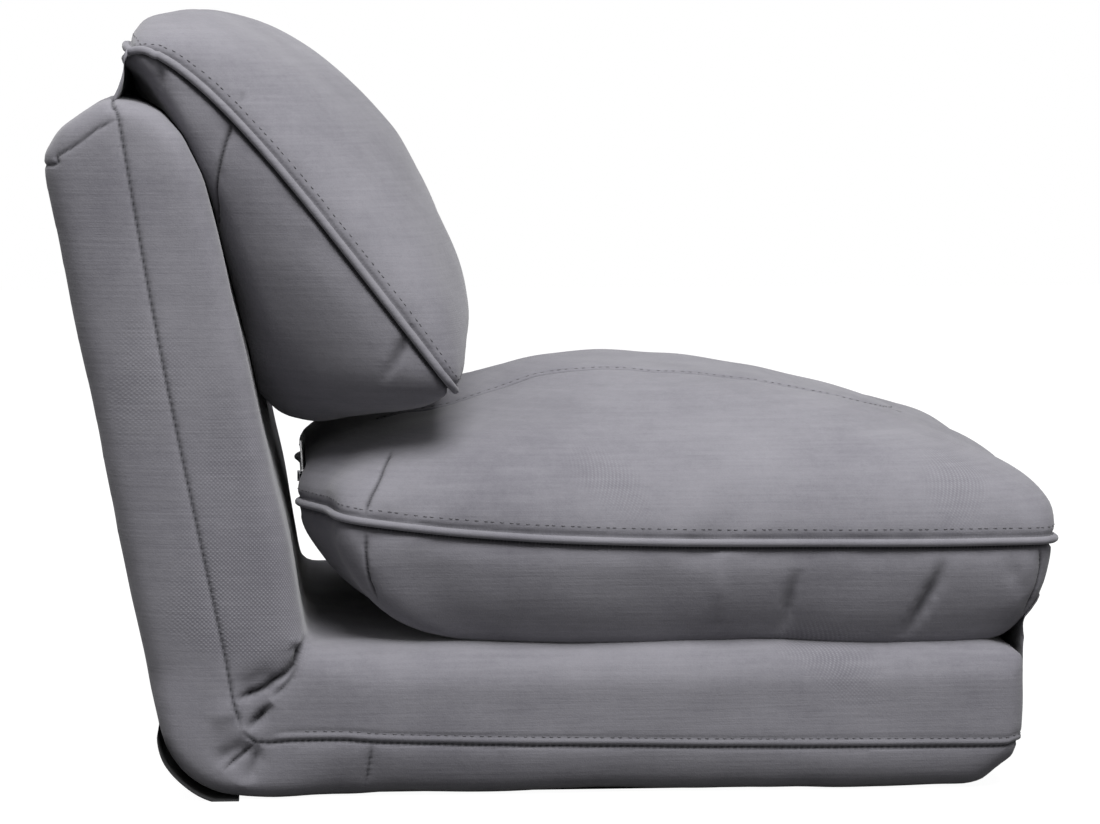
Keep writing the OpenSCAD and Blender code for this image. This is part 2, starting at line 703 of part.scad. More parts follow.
slider_y = -zip_len / 2 + 2 * slider_len;
slider_gap = nest_gap * 0.8;
slider_top = tape_x - coil_t - slider_gap;
eye_r = bar_r + 2 * run_gap + tab_t * 0.6;
bar_x = slider_top - slider_t - eye_r - slider_gap;
post_z = tab_w / 2 + slider_gap;

// Zip slider: a channel over the teeth with two posts and a bar for the pull
module seat_zip_slider() color("#a4a6aa") {
    difference() {
        zip_plate(slider_len, slider_w, slider_top - slider_t, tape_x - slider_gap, slider_y);
        zip_plate(2 * slider_len, coil_w + 2 * slider_gap, slider_top, tape_x + tape_t, slider_y);
    }
    for (end = [-1, 1])
        translate([bar_x - eye_r, slider_y - eye_r, zip_z + end * (post_z + slider_t / 2) - slider_t / 2])
        cube([slider_top - slider_t / 2 - bar_x + eye_r, 2 * eye_r, slider_t]);
    translate([bar_x, slider_y, zip_z])
        cylinder(r = bar_r, h = 2 * post_z + slider_t, center = true, $fn = tube_fn);
}

// Pull tab that turns on the slider's bar
module seat_zip_pull() color("#b4b6ba") translate([bar_x, slider_y, zip_z]) difference() {
    linear_extrude(tab_w, center = true) {
        circle(r = eye_r, $fn = tube_fn);
        translate([-tab_t / 2, -tab_len + tab_t]) square([tab_t, tab_len - tab_t]);
        translate([0, -tab_len + tab_t]) circle(r = tab_t * 0.8, $fn = round_fn);
    }
    cylinder(r = bar_r + run_gap, h = 2 * tab_w, center = true, $fn = tube_fn);
}

// Head pillow, hung from the backrest's top by its flap
flap_angle = 63;
flap_foot = [-back_front * 0.14, back_len + nest_gap + flap_t / 4];
flap_top = flap_foot + flap_len * [cos(flap_angle), sin(flap_angle)];

module flap_frame() {
    back_frame_at() translate([flap_foot[0], 0, flap_foot[1]]) rotate([0, -flap_angle, 0]) children();
}

module pillow_at() {
    back_frame_at() translate([flap_top[0], 0, flap_top[1]]) rotate([0, 90 - pillow_open, 0])
        translate([2 * piping_out + flap_t, 0, 0]) children();
}

module pillow_form(in) {
    pillow_at() cushion(pillow_level_shares, pillow_len, pillow_w, pillow_front, pillow_rear, in, false);
}

module pillow_cover() color("#77777f") difference() {
    pillow_form(0);
    pillow_form(cover_t);
}

module pillow_fill() color("#e9e6dc") pillow_form(foam_in);

module pillow_piping() color("#85858d") pillow_at()
    piping(piping_path(pillow_level_shares, pillow_len, pillow_w, false), piping_r, piping_sides);

module pillow_flap() color("#6f6f77") flap_frame()
    translate([0, -flap_w / 2, -flap_t / 2]) cube([flap_len - nest_gap, flap_w, flap_t]);

base_cover();
base_underside();
base_welt();
base_foam_upper();
base_foam_lower();
base_frame();
hinge_lower_left();
hinge_lower_right();
hinge_rivet_left();
hinge_rivet_right();
fold_gusset();
fold_cloth();
back_cover();
back_foam_front();
back_foam_rear();
back_frame();
hinge_upper_left();
hinge_upper_right();
pawl_left();
pawl_right();
pawl_spring_left();
pawl_spring_right();
seat_cover();
seat_foam();
seat_fill();
seat_piping();
seat_hinge_strip();
seat_zip_tape();
seat_zip_slider();
seat_zip_pull();
pillow_cover();
pillow_fill();
pillow_piping();
pillow_flap();
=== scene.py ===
import bpy, bmesh, json
import numpy as np
from math import copysign, cos, hypot, pi, radians, sin
from mathutils import Matrix, Vector, noise
from mathutils.bvhtree import BVHTree
from mathutils.kdtree import KDTree


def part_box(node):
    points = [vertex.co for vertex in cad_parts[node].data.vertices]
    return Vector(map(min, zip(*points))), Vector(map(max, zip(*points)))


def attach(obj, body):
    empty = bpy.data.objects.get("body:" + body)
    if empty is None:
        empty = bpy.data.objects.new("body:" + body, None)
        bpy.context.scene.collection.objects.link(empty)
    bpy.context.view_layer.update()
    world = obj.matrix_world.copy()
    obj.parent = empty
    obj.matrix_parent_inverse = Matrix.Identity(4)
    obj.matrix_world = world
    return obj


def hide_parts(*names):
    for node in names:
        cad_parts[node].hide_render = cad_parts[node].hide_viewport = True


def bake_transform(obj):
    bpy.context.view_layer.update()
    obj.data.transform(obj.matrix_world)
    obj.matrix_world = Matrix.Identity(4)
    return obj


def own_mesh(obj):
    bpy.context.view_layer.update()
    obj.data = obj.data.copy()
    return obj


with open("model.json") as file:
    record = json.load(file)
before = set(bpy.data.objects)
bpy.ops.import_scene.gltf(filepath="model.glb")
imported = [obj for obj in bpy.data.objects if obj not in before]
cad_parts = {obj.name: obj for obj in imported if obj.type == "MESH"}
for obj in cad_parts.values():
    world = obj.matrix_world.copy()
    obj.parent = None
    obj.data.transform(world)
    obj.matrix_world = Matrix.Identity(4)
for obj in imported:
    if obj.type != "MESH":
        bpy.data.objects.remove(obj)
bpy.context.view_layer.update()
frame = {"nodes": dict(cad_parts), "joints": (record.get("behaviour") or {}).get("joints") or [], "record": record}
scene = bpy.context.scene

# camera, floor and light
shot = {
    "place": (-0.2195, -3.28, 0.589),
    "yaw": 4.017,  # degrees, turned to the chair's front
    "pitch": 5.44,  # degrees, looking down
    "lens": 127.9,
    "sensor": 36,
    "farthest": 50,
}
studio = {
    "worldStrength": 0.4,
    "lampSize": 2.0,
    "lampAim": (0.0, 0.0, 0.25),
    # the power and place of each lamp, the weaker one above and behind
    "lamps": {"key": (140, (0.3, -1.82, 2.86)), "top": (34, (-1.5, 1.6, 2.5))},
    "floorReach": 6,
    "floorTone": 0.9,
    "floorRoughness": 0.9,
    "floorGlow": 0.86,  # how much of the floor is plain white to the camera
    "floorWhite": 1.12,
    "floorBounce": 0.06,  # how pale the floor is to the light that it throws back
}


def toScene(name, data):
    made = bpy.data.objects.new(name, data)
    scene.collection.objects.link(made)
    return made


def makeCamera():
    data = bpy.data.cameras.new("camera")
    data.lens = shot["lens"]
    data.sensor_width = shot["sensor"]
    data.clip_end = shot["farthest"]
    camera = toScene("camera", data)
    camera.location = shot["place"]
    camera.rotation_euler = (radians(90 - shot["pitch"]), 0, -radians(shot["yaw"]))
    scene.camera = camera


class Value:  # a shader socket that can be used in sums
    def __init__(self, tree, socket):
        self.tree = tree
        self.socket = socket

    def math(self, operation, *others, clamp=False):
        node = self.tree.nodes.new("ShaderNodeMath")
        node.operation = operation
        node.use_clamp = clamp
        for item, socket in zip((self, *others), node.inputs):
            plug(self.tree, item, socket)
        return Value(self.tree, node.outputs[0])

    def __add__(self, other):
        return self.math("ADD", other)

    def __sub__(self, other):
        return self.math("SUBTRACT", other)

    def __mul__(self, other):
        return self.math("MULTIPLY", other)

    def __pow__(self, other):
        return self.math("POWER", other)

    def __rsub__(self, other):
        return self * -1 + other

    __radd__ = __add__
    __rmul__ = __mul__

    def clamped(self):
        return self.math("ADD", 0.0, clamp=True)


def plug(tree, item, socket):  # links a value to a socket, or sets the socket
    if isinstance(item, Value):
        tree.links.new(item.socket, socket)
    else:
        socket.default_value = item


class Nodes:  # the shader nodes of a material or of the world
    def __init__(self, owner):
        owner.use_nodes = True
        self.tree = owner.node_tree

    def node(self, kind, settings=None, sockets=None, out=0):
        made = self.tree.nodes.new("ShaderNode" + kind)
        for key, setting in (settings or {}).items():
            if key == "stops":
                self.setStops(made.color_ramp.elements, setting)
            else:
                setattr(made, key, setting)
        for key, item in (sockets or {}).items():
            plug(self.tree, item, made.inputs[key])
        return Value(self.tree, made.outputs[out])

    def setStops(self, elements, stops):
        while len(elements) < len(stops):
            elements.new(0.5)
        for element, (place, color) in zip(elements, stops):
            element.position = place
            element.color = (*color, 1)

    def noise(self, spot, scale, detail, roughness=0.5):
        return self.node("TexNoise", sockets={"Vector": spot, "Scale": scale, "Detail": detail,
                                              "Roughness": roughness})


class Finish(Nodes):  # one material
    def __init__(self, name):
        self.material = bpy.data.materials.new(name)
        super().__init__(self.material)
        self.shader = self.tree.nodes["Principled BSDF"]

    def feed(self, name, item):
        plug(self.tree, item, self.shader.inputs[name])


def toObject(bm, name):
    mesh = bpy.data.meshes.new(name)
    bm.to_mesh(mesh)
    bm.free()
    return toScene(name, mesh)


def makeWorld():  # weak light from all sides, but plain white to the camera
    world = bpy.data.worlds.new("studio")
    scene.world = world
    sky = Nodes(world)
    tree = sky.tree
    tree.nodes.clear()
    lit, seen = [sky.node("Background", sockets={"Color": (1, 1, 1, 1), "Strength": strength})
                 for strength in (studio["worldStrength"], 1)]
    camera, glossy, through = [sky.node("LightPath", out="Is " + kind + " Ray")
                               for kind in ("Camera", "Glossy", "Transmission")]
    direct = (camera + glossy + through).clamped()
    surface = sky.node("MixShader", sockets={0: direct, 1: lit, 2: seen})
    plug(tree, surface, tree.nodes.new("ShaderNodeOutputWorld").inputs["Surface"])


def makeLamps():
    for name, (power, place) in studio["lamps"].items():
        lamp = bpy.data.lights.new(name, "AREA")
        lamp.shape = "DISK"
        lamp.size = studio["lampSize"]
        lamp.energy = power
        light = toScene(name, lamp)
        light.location = place
        aim = Vector(studio["lampAim"]) - light.location
        light.rotation_euler = aim.to_track_quat("-Z", "Y").to_euler()


def makeFloor():  # pale, and darker to the light that it throws back
    bm = bmesh.new()
    bmesh.ops.create_grid(bm, x_segments=2, y_segments=2, size=studio["floorReach"])
    floor = toObject(bm, "floor")
    finish = Finish("floorWhite")
    seen = finish.node("LightPath", out="Is Camera Ray")
    finish.feed("Base Color", seen * (studio["floorTone"] - studio["floorBounce"]) + studio["floorBounce"])
    finish.feed("Roughness", studio["floorRoughness"])
    matte = Value(finish.tree, finish.shader.outputs[0])
    glow = finish.node("Emission", sockets={"Strength": studio["floorWhite"]})
    surface = finish.node("MixShader", sockets={0: seen * studio["floorGlow"], 1: matte, 2: glow})
    plug(finish.tree, surface, finish.tree.nodes["Material Output"].inputs["Surface"])
    floor.data.materials.append(finish.material)


makeCamera()
makeWorld()
makeLamps()
makeFloor()
scene.view_settings.view_transform = "Standard"
print("camera and stage done")

# finishes
suede = {
    "dark": (0.142, 0.138, 0.158),
    "color": (0.192, 0.188, 0.209),
    "light": (0.236, 0.231, 0.254),
    "stops": {"dark": 0.3, "color": 0.52, "light": 0.78},
    # painted shade: the near-black colour that seams and folds are darkened towards where shade falls in them, and
    # how far at the most
    "seam": (0.012, 0.012, 0.014),
    "paintedShadeShare": 0.97,
    # the scale, detail and roughness of each noise
    "cloud": (9, 5, 0.62),
    "nap": (850, 2, 0.7),
    "brushed": (160, 4, 0.75),
    "streak": (1, 3, 0.6),
    "streakScale": (14, 14, 420),  # long and thin, along the floor
    "patch": (5.5, 1),
    "patchFrom": 0.625,  # higher gives fewer woven patches
    "patchEdge": 9,
    "weave": 620,  # threads to the metre in the patches
    "weaveTone": 1.1,
    "weaveMiddle": 0.4,
    "weaveRelief": 1.3,
    # shares of cloud, nap, streak and brushed in the tone, and of the last three in the relief
    "tones": (0.62, 0.24, 0.26, 0.22),
    "toneLess": 0.17,
    "reliefs": (0.5, 0.7, 0.8),
    "bump": {"Strength": 0.6, "Distance": 0.0005},
    "roughness": (0.84, 0.1),  # at the least, and what the clouds add
    "surface": {"Sheen Weight": 0.22, "Sheen Roughness": 0.5, "Specular IOR Level": 0.06},
}
plain = {"mottle": (40, 3), "stops": (0.3, 0.7), "darker": 0.85, "roughnessSpread": 0.2}


def makeSuede(name, tone=1.0):
    finish = Finish(name)
    spot = finish.node("TexCoord", out="Object")
    kinds = ("cloud", "nap", "brushed", "patch")
    cloud, nap, brushed, where = [finish.noise(spot, *suede[kind]) for kind in kinds]
    drawn = finish.node("VectorMath", {"operation": "MULTIPLY"}, {0: spot, 1: suede["streakScale"]})
    noises = (cloud, nap, finish.noise(drawn, *suede["streak"]), brushed)
    x, y, z = [finish.node("SeparateXYZ", sockets={"Vector": spot}, out=axis) for axis in "XYZ"]
    turns = suede["weave"] * pi
    weave = (((x + y) * turns).math("SINE") * (z * turns).math("SINE") * 0.5 + 0.5) ** 2
    shown = ((where - suede["patchFrom"]) * suede["patchEdge"]).clamped() * brushed
    shade = sum(item * share for item, share in zip(noises, suede["tones"])) - suede["toneLess"]
    shade = shade + shown * (weave - suede["weaveMiddle"]) * suede["weaveTone"]
    stops = [(place, tuple(c * tone for c in suede[key])) for key, place in suede["stops"].items()]
    color = finish.node("ValToRGB", {"stops": stops}, {"Fac": shade.clamped()})
    # painted shade: the colour is darkened towards the seam colour wherever seams and folds were marked
    crease = finish.node("Attribute", {"attribute_name": "crease"}, out=2)
    sunk = finish.node("Mix", {"data_type": "RGBA"}, {0: (crease * suede["paintedShadeShare"]).clamped(), 6: color,
                                                      7: (*suede["seam"], 1)}, out=2)
    finish.feed("Base Color", sunk)
    least, spread = suede["roughness"]
    finish.feed("Roughness", (cloud * spread + least).clamped())
    for key, amount in suede["surface"].items():
        finish.feed(key, amount)
    height = sum(item * share for item, share in zip(noises[1:], suede["reliefs"]))
    height = height + shown * weave * suede["weaveRelief"]
    finish.feed("Normal", finish.node("Bump", sockets={"Height": height, **suede["bump"]}))
    return finish.material


def makePlain(name, color, roughness, metallic=0.0):
    finish = Finish(name)
    cloud = finish.noise(finish.node("TexCoord", out="Object"), *plain["mottle"])
    stops = zip(plain["stops"], (tuple(c * plain["darker"] for c in color), color))
    finish.feed("Base Color", finish.node("ValToRGB", {"stops": list(stops)}, {"Fac": cloud}))
    finish.feed("Roughness", cloud * plain["roughnessSpread"] + (roughness - plain["roughnessSpread"] / 2))
    finish.feed("Metallic", metallic)
    return finish.material


finishes = {
    "suede": makeSuede("suede"),
    "suede_trim": makeSuede("suedeTrim", 1.02),
    "thread": makePlain("thread", (0.1, 0.098, 0.108), 0.8),
    "bottom_cloth": makePlain("bottomCloth", (0.012, 0.012, 0.013), 0.95),
    "foam": makePlain("foam", (0.78, 0.7, 0.42), 0.95),
    "fibre": makePlain("fibre", (0.85, 0.85, 0.83), 0.95),
    "tube": makePlain("blackTube", (0.02, 0.02, 0.022), 0.4),
    "plate": makePlain("zincPlate", (0.56, 0.56, 0.57), 0.35, 1.0),
    "zip": makePlain("zipTape", (0.035, 0.035, 0.04), 0.9),
    "zip_metal": makePlain("zipMetal", (0.6, 0.6, 0.62), 0.25, 1.0),
}
for part in frame["record"]["subparts"]:
    node = frame["nodes"][part["node"]]
    node.data.materials.clear()
    node.data.materials.append(finishes[part["material_slot"]])
print("finishes done")

# shared making helpers
sewing = {
    "step": 0.002,  # between the points of a seam
    "reach": 0.009,  # how far from a seam the faces get smaller
    "thin": 0.003,  # a narrower seam gets smaller faces still
    "thinReach": 0.0042,
}
lowest = 0.0004  # no cloth comes nearer to the floor
pivots = {joint["name"]: joint["pos_m"] for joint in frame["joints"] if "pos_m" in joint}


def portion(value, whole=1.0):  # held between 0 and 1
    return min(max(value / whole, 0.0), 1.0)


def dress(piece, look, smooth=True):
    piece.data.materials.clear()
    piece.data.materials.append(finishes[look])
    if smooth:
        piece.data.shade_smooth()
    return piece


def toPiece(bm, name, look, smooth=True):
    return dress(toObject(bm, name), look, smooth)


def remesh(piece, size):
    modifier = piece.modifiers.new("remesh", "REMESH")
    modifier.mode = "VOXEL"
    modifier.voxel_size = size
    modifier.use_smooth_shade = True
    graph = bpy.context.evaluated_depsgraph_get()
    graph.update()
    mesh = bpy.data.meshes.new_from_object(piece.evaluated_get(graph), depsgraph=graph)
    old = piece.data
    piece.modifiers.clear()
    piece.data = mesh
    bpy.data.meshes.remove(old)


def relax(piece, rounds):
    bm = bmesh.new()
    bm.from_mesh(piece.data)
    for turn in range(rounds):
        bmesh.ops.smooth_vert(bm, verts=bm.verts, factor=0.5, use_axis_x=True, use_axis_y=True,
                              use_axis_z=True)
    bm.to_mesh(piece.data)
    bm.free()


def pushOut(piece, amount):  # each vertex goes out by what a function gives for its place
    bm = bmesh.new()
    bm.from_mesh(piece.data)
    bm.normal_update()
    moves = [(v, v.normal * amount(v.co)) for v in bm.verts]
    for vert, move in moves:
        vert.co += move
        vert.co.z = max(vert.co.z, lowest)
    bm.to_mesh(piece.data)
    bm.free()


def swell(piece, size, amount, seed):  # slow waves in the cloth
    shift = Vector((seed * 3.1, seed * 1.7, seed * 5.3))
    pushOut(piece, lambda place: noise.noise(place / size + shift) * amount)


def between(a, b, c, d, t):  # on a smooth line from b to c, which a and d lead in and out
    return 0.5 * (2 * b + (c - a) * t + (2 * a - 5 * b + 4 * c - d) * t * t
                  + (3 * b - a - 3 * c + d) * t ** 3)


def curveThrough(points, step):  # evenly spaced points on a smooth line through the given ones
    points = [Vector(p) for p in points]
    ends = [points[0] * 2 - points[1]] + points + [points[-1] * 2 - points[-2]]
    fine = []
    for i in range(1, len(ends) - 2):
        count = max(2, int((ends[i + 1] - ends[i]).length / step * 2))
        fine += [between(*ends[i - 1:i + 3], j / count) for j in range(count)]
    fine.append(points[-1])
    out, carry = [fine[0]], 0.0
    for a, b in zip(fine, fine[1:]):
        length = (b - a).length
        while carry + length >= step:
            a = a + (b - a) * ((step - carry) / length)
            length = (b - a).length
            out.append(a)
            carry = 0.0
        carry += length
    return out


def alongLine(line, share):  # the place at a share of a line's points
    at = share * (len(line) - 1)
    i = min(int(at), len(line) - 2)
    return line[i].lerp(line[i + 1], at - i)


def mirrored(path):
    return [Vector((p.x, -p.y, p.z)) for p in path]


def refineNear(bm, paths, reach):  # smaller faces along seams, once wherever they run
    points = [p for path in paths for p in path]
    tree = KDTree(len(points))
    for i, point in enumerate(points):
        tree.insert(point, i)
    tree.balance()
    near = {v for v in bm.verts if tree.find(v.co)[2] < reach}
    edges = [e for e in bm.edges if e.verts[0] in near and e.verts[1] in near]
    bmesh.ops.subdivide_edges(bm, edges=edges, cuts=1, use_grid_fill=True, smooth=0.0)


def nearestPlaces(places, line, batch=4000):  # the nearest point of a line for each place, and how far it is
    index = np.zeros(len(places), int)
    distance = np.zeros(len(places))
    for start in range(0, len(places), batch):
        part = places[start:start + batch]
        square = (part ** 2).sum(1)[:, None] - 2 * part @ line.T + (line ** 2).sum(1)[None, :]
        best = square.argmin(1)
        index[start:start + batch] = best
        distance[start:start + batch] = np.linalg.norm(part - line[best], axis=1)
    return index, distance


def bell(distance, width):
    return np.exp(-(distance / width) ** 2)


# presses a valley along a line, with small gathers at both sides, and marks painted shade along it, as strong as
# dark
def pressLine(places, normals, moved, crease, path, depth, width, dark=1.0, soft=0.0, spread=0.012,
              pucker=0.0, wave=0.03, fade=0.012, seed=0):
    line = np.array([tuple(p) for p in path])
    reach = max(width * 3, spread * 2.2 if soft or pucker else 0)
    near = np.nonzero(((places > line.min(0) - reach) & (places < line.max(0) + reach)).all(1))[0]
    index, distance = nearestPlaces(places[near], line)
    close = distance < reach
    near, index, distance = near[close], index[close], distance[close]
    step = (path[1] - path[0]).length
    ends = np.ones(len(near))
    if (path[0] - path[-1]).length > step * 1.5:
        ends = np.minimum(1.0, (np.minimum(index, len(path) - 1 - index) * step + distance * 0.2) / fade)
    drop = (depth * bell(distance, width) + soft * bell(distance, spread)) * ends
    if pucker:
        gathers = np.array([noise.noise(Vector((i * step / wave, seed * 7.3, 0))) for i in range(len(path))])
        drop += pucker * gathers[index] * ends * bell(distance - spread * 0.4, spread * 0.6)
    crease[near] = np.maximum(crease[near], dark * bell(distance, width * 0.75) * ends)
    moved[near] -= normals[near] * drop[:, None]


def sewn(piece, seams):  # presses a list of seams and folds into a soft piece, and paints their shade into its colour
    bm = bmesh.new()
    bm.from_mesh(piece.data)
    refineNear(bm, [path for path, style in seams], sewing["reach"])
    refineNear(bm, [path for path, style in seams if style["width"] < sewing["thin"]], sewing["thinReach"])
    bmesh.ops.triangulate(bm, faces=[f for f in bm.faces if len(f.verts) > 4])
    mesh = piece.data
    bm.to_mesh(mesh)
    bm.free()
    places, normals = np.zeros((2, len(mesh.vertices), 3))
    mesh.vertices.foreach_get("co", places.ravel())
    mesh.vertices.foreach_get("normal", normals.ravel())
    moved, crease = places.copy(), np.zeros(len(places))
    for path, style in seams:
        pressLine(places, normals, moved, crease, path, **style)
    mesh.vertices.foreach_set("co", moved.ravel())
    mesh.attributes.new("crease", "FLOAT", "POINT").data.foreach_set("value", crease)
    mesh.update()
    mesh.shade_smooth()


def surfaceOf(piece):
    mesh = piece.data
    return BVHTree.FromPolygons([v.co for v in mesh.vertices], [f.vertices for f in mesh.polygons])


def laidOn(surface, points, away):  # a line through points, moved onto a surface from one side
    direction = -Vector(away)
    placed = []
    for point in curveThrough(points, sewing["step"]):
        hit = surface.ray_cast(point - direction, direction)[0]
        placed.append(hit or surface.find_nearest(point)[0])
    return placed


def nearestOn(surface, points):
    return [surface.find_nearest(point)[0] for point in curveThrough(points, sewing["step"])]


def shifted(surface, path, move):  # a path that runs beside another on a surface
    return [surface.find_nearest(point + move)[0] for point in path]


def tube(name, path, radius, look, sides=3):
    curve = bpy.data.curves.new(name, "CURVE")
    curve.dimensions = "3D"
    curve.bevel_depth = radius
    curve.bevel_resolution = sides
    line = curve.splines.new("POLY")
    line.points.add(len(path) - 1)
    for spot, place in zip(line.points, path):
        spot.co = (*place, 1)
    line.use_cyclic_u = True
    made = toScene(name, curve)
    bpy.context.view_layer.update()
    mesh = bpy.data.meshes.new_from_object(made.evaluated_get(bpy.context.evaluated_depsgraph_get()))
    bpy.data.objects.remove(made)
    bpy.data.curves.remove(curve)
    return dress(toScene(name, mesh), look)


# mattress: base and backrest in one sewn cover
pivot = Vector(pivots["back_recline"])
mattress = {
    "width": 0.56,
    "lean": 11,  # degrees
    "baseLine": [
        (0.325, 0), (0.3375, 0.0035), (0.346, 0.0115), (0.3605, 0.0235), (0.3645, 0.0345), (0.367, 0.042),
        (0.367, 0.119)
    ],
    "foldIn": (-0.197, 0.119),
    "foldRadius": 0.067,
    "foldTurns": 7,
    "foldReach": 0.045,  # from the hinge's middle to where the cover stops bending
    "backFront": [
        (0.0592, 0.078), (0.0609, 0.122), (0.0592, 0.166), (0.058, 0.244), (0.0551, 0.3416),
        (0.051, 0.4124), (0.0423, 0.449), (0.0302, 0.4685), (0.0157, 0.4797), (-0.0058, 0.488)
    ],
    "backRear": [(-0.0134, 0.4865), (-0.0496, 0.4714), (-0.067, 0.4514), (-0.067, 0.23), (-0.067, 0.0)],
    "front": 0.367,
    "top": 0.488,
    "edge": 0.017,
    "corner": 0.014,  # of the base's front and the backrest's top, in plan
    "voxel": 0.0058,
    "waves": [(0.11, 0.0032, 3), (0.035, 0.0007, 5)],  # length, height and seed
}
lean = radians(mattress["lean"])
shoulder = {  # the base's top falls off towards its sides and front
    "from": 0.232, "width": 0.048, "drop": 0.015,
    "front": 0.05, "frontShare": 0.7,
    "behindFold": 0.01, "foldWidth": 0.06,
    "above": 0.05, "rise": 0.06,
}
rearTurn = {  # the backrest's sides turn in towards the rear, and the base's towards the floor
    "depth": 0.067, "drawn": 0.055,
    "below": 0.04, "rise": 0.08,
    "lowHeight": 0.042, "lowDrawn": 0.04, "lowFrom": 0.02, "lowWidth": 0.05, "lowPower": 1.3,
}


def onBack(across, along, y=0.0):  # the backrest's own directions, at its raised angle
    return Vector((pivot.x - sin(lean) * along + cos(lean) * across, y,
                   pivot.z + cos(lean) * along + sin(lean) * across))


def backPlace(point):  # across and along the raised backrest
    dx, dz = point.x - pivot.x, point.z - pivot.z
    return cos(lean) * dx + sin(lean) * dz, -sin(lean) * dx + cos(lean) * dz


def mattressOutline():
    line = [Vector((x, 0, z)) for x, z in mattress["baseLine"] + [mattress["foldIn"]]]
    line += [onBack(*place) for place in mattress["backFront"] + mattress["backRear"]]
    radius, turns = mattress["foldRadius"], mattress["foldTurns"]
    for turn in range(1, turns + 1):
        angle = radians(180 + mattress["lean"] + (90 - mattress["lean"]) * turn / turns)
        height = max(0.0, pivot.z + radius * sin(angle))
        line.append(Vector((pivot.x + radius * cos(angle), 0, height)))
    return line


def roundCorners(piece):
    radius, half = mattress["corner"], mattress["width"] / 2
    for vert in piece.data.vertices:
        x, y, z = vert.co
        side = abs(y) - (half - radius)
        across, along = backPlace(vert.co)
        forward = x - (mattress["front"] - radius)
        over = forward if forward > 0 else along - (mattress["top"] - radius)
        reach = hypot(over, side)
        if side <= 0 or over <= 0 or reach <= radius:
            continue
        drawn = radius / reach - 1
        y += copysign(side * drawn, y)
        if forward > 0:
            vert.co = (x + forward * drawn, y, z)
        else:
            vert.co = onBack(across, along + over * drawn, y)


def dropShoulders(piece):
    for vert in piece.data.vertices:
        x, y, z = vert.co
        side = portion(abs(y) - shoulder["from"], shoulder["width"])
        front = portion(x - mattress["front"] + shoulder["front"], shoulder["front"])
        rear = portion(x - mattress["foldIn"][0] + shoulder["behindFold"], shoulder["foldWidth"])
        reach = max(side * side, front * front * shoulder["frontShare"]) * rear
        vert.co.z -= shoulder["drop"] * reach * portion(z - shoulder["above"], shoulder["rise"])


def turnRear(piece):
    for vert in piece.data.vertices:
        across, along = backPlace(vert.co)
        share = portion(-across, rearTurn["depth"]) * portion(along + rearTurn["below"], rearTurn["rise"])
        vert.co.y *= 1 - rearTurn["drawn"] * share ** 2
        low = portion(rearTurn["lowHeight"] - vert.co.z, rearTurn["lowHeight"])
        low *= portion(vert.co.x - pivot.x - rearTurn["lowFrom"], rearTurn["lowWidth"])
        vert.co.y *= 1 - rearTurn["lowDrawn"] * low ** rearTurn["lowPower"]


def makeMattress():
    bm = bmesh.new()
    half = mattress["width"] / 2
    face = bm.faces.new([bm.verts.new((p.x, -half, p.z)) for p in mattressOutline()])
    made = bmesh.ops.extrude_face_region(bm, geom=[face])["geom"]
    farSide = [g for g in made if isinstance(g, bmesh.types.BMVert)]
    bmesh.ops.translate(bm, verts=farSide, vec=(0, 2 * half, 0))
    bmesh.ops.recalc_face_normals(bm, faces=bm.faces)
    rims = [e for e in bm.edges if abs(e.verts[0].co.y - e.verts[1].co.y) < 1e-6]
    bmesh.ops.bevel(bm, geom=rims, offset=mattress["edge"], segments=4, profile=0.5, material=-1,
                    affect="EDGES", clamp_overlap=True)
    bmesh.ops.triangulate(bm, faces=[f for f in bm.faces if len(f.verts) > 4])
    piece = toPiece(bm, "mattressCover", "suede")
    remesh(piece, mattress["voxel"])
    roundCorners(piece)
    dropShoulders(piece)
    turnRear(piece)
    relax(piece, 3)
    for size, amount, seed in mattress["waves"]:
        swell(piece, size, amount, seed)
    return piece


mattressCover = makeMattress()

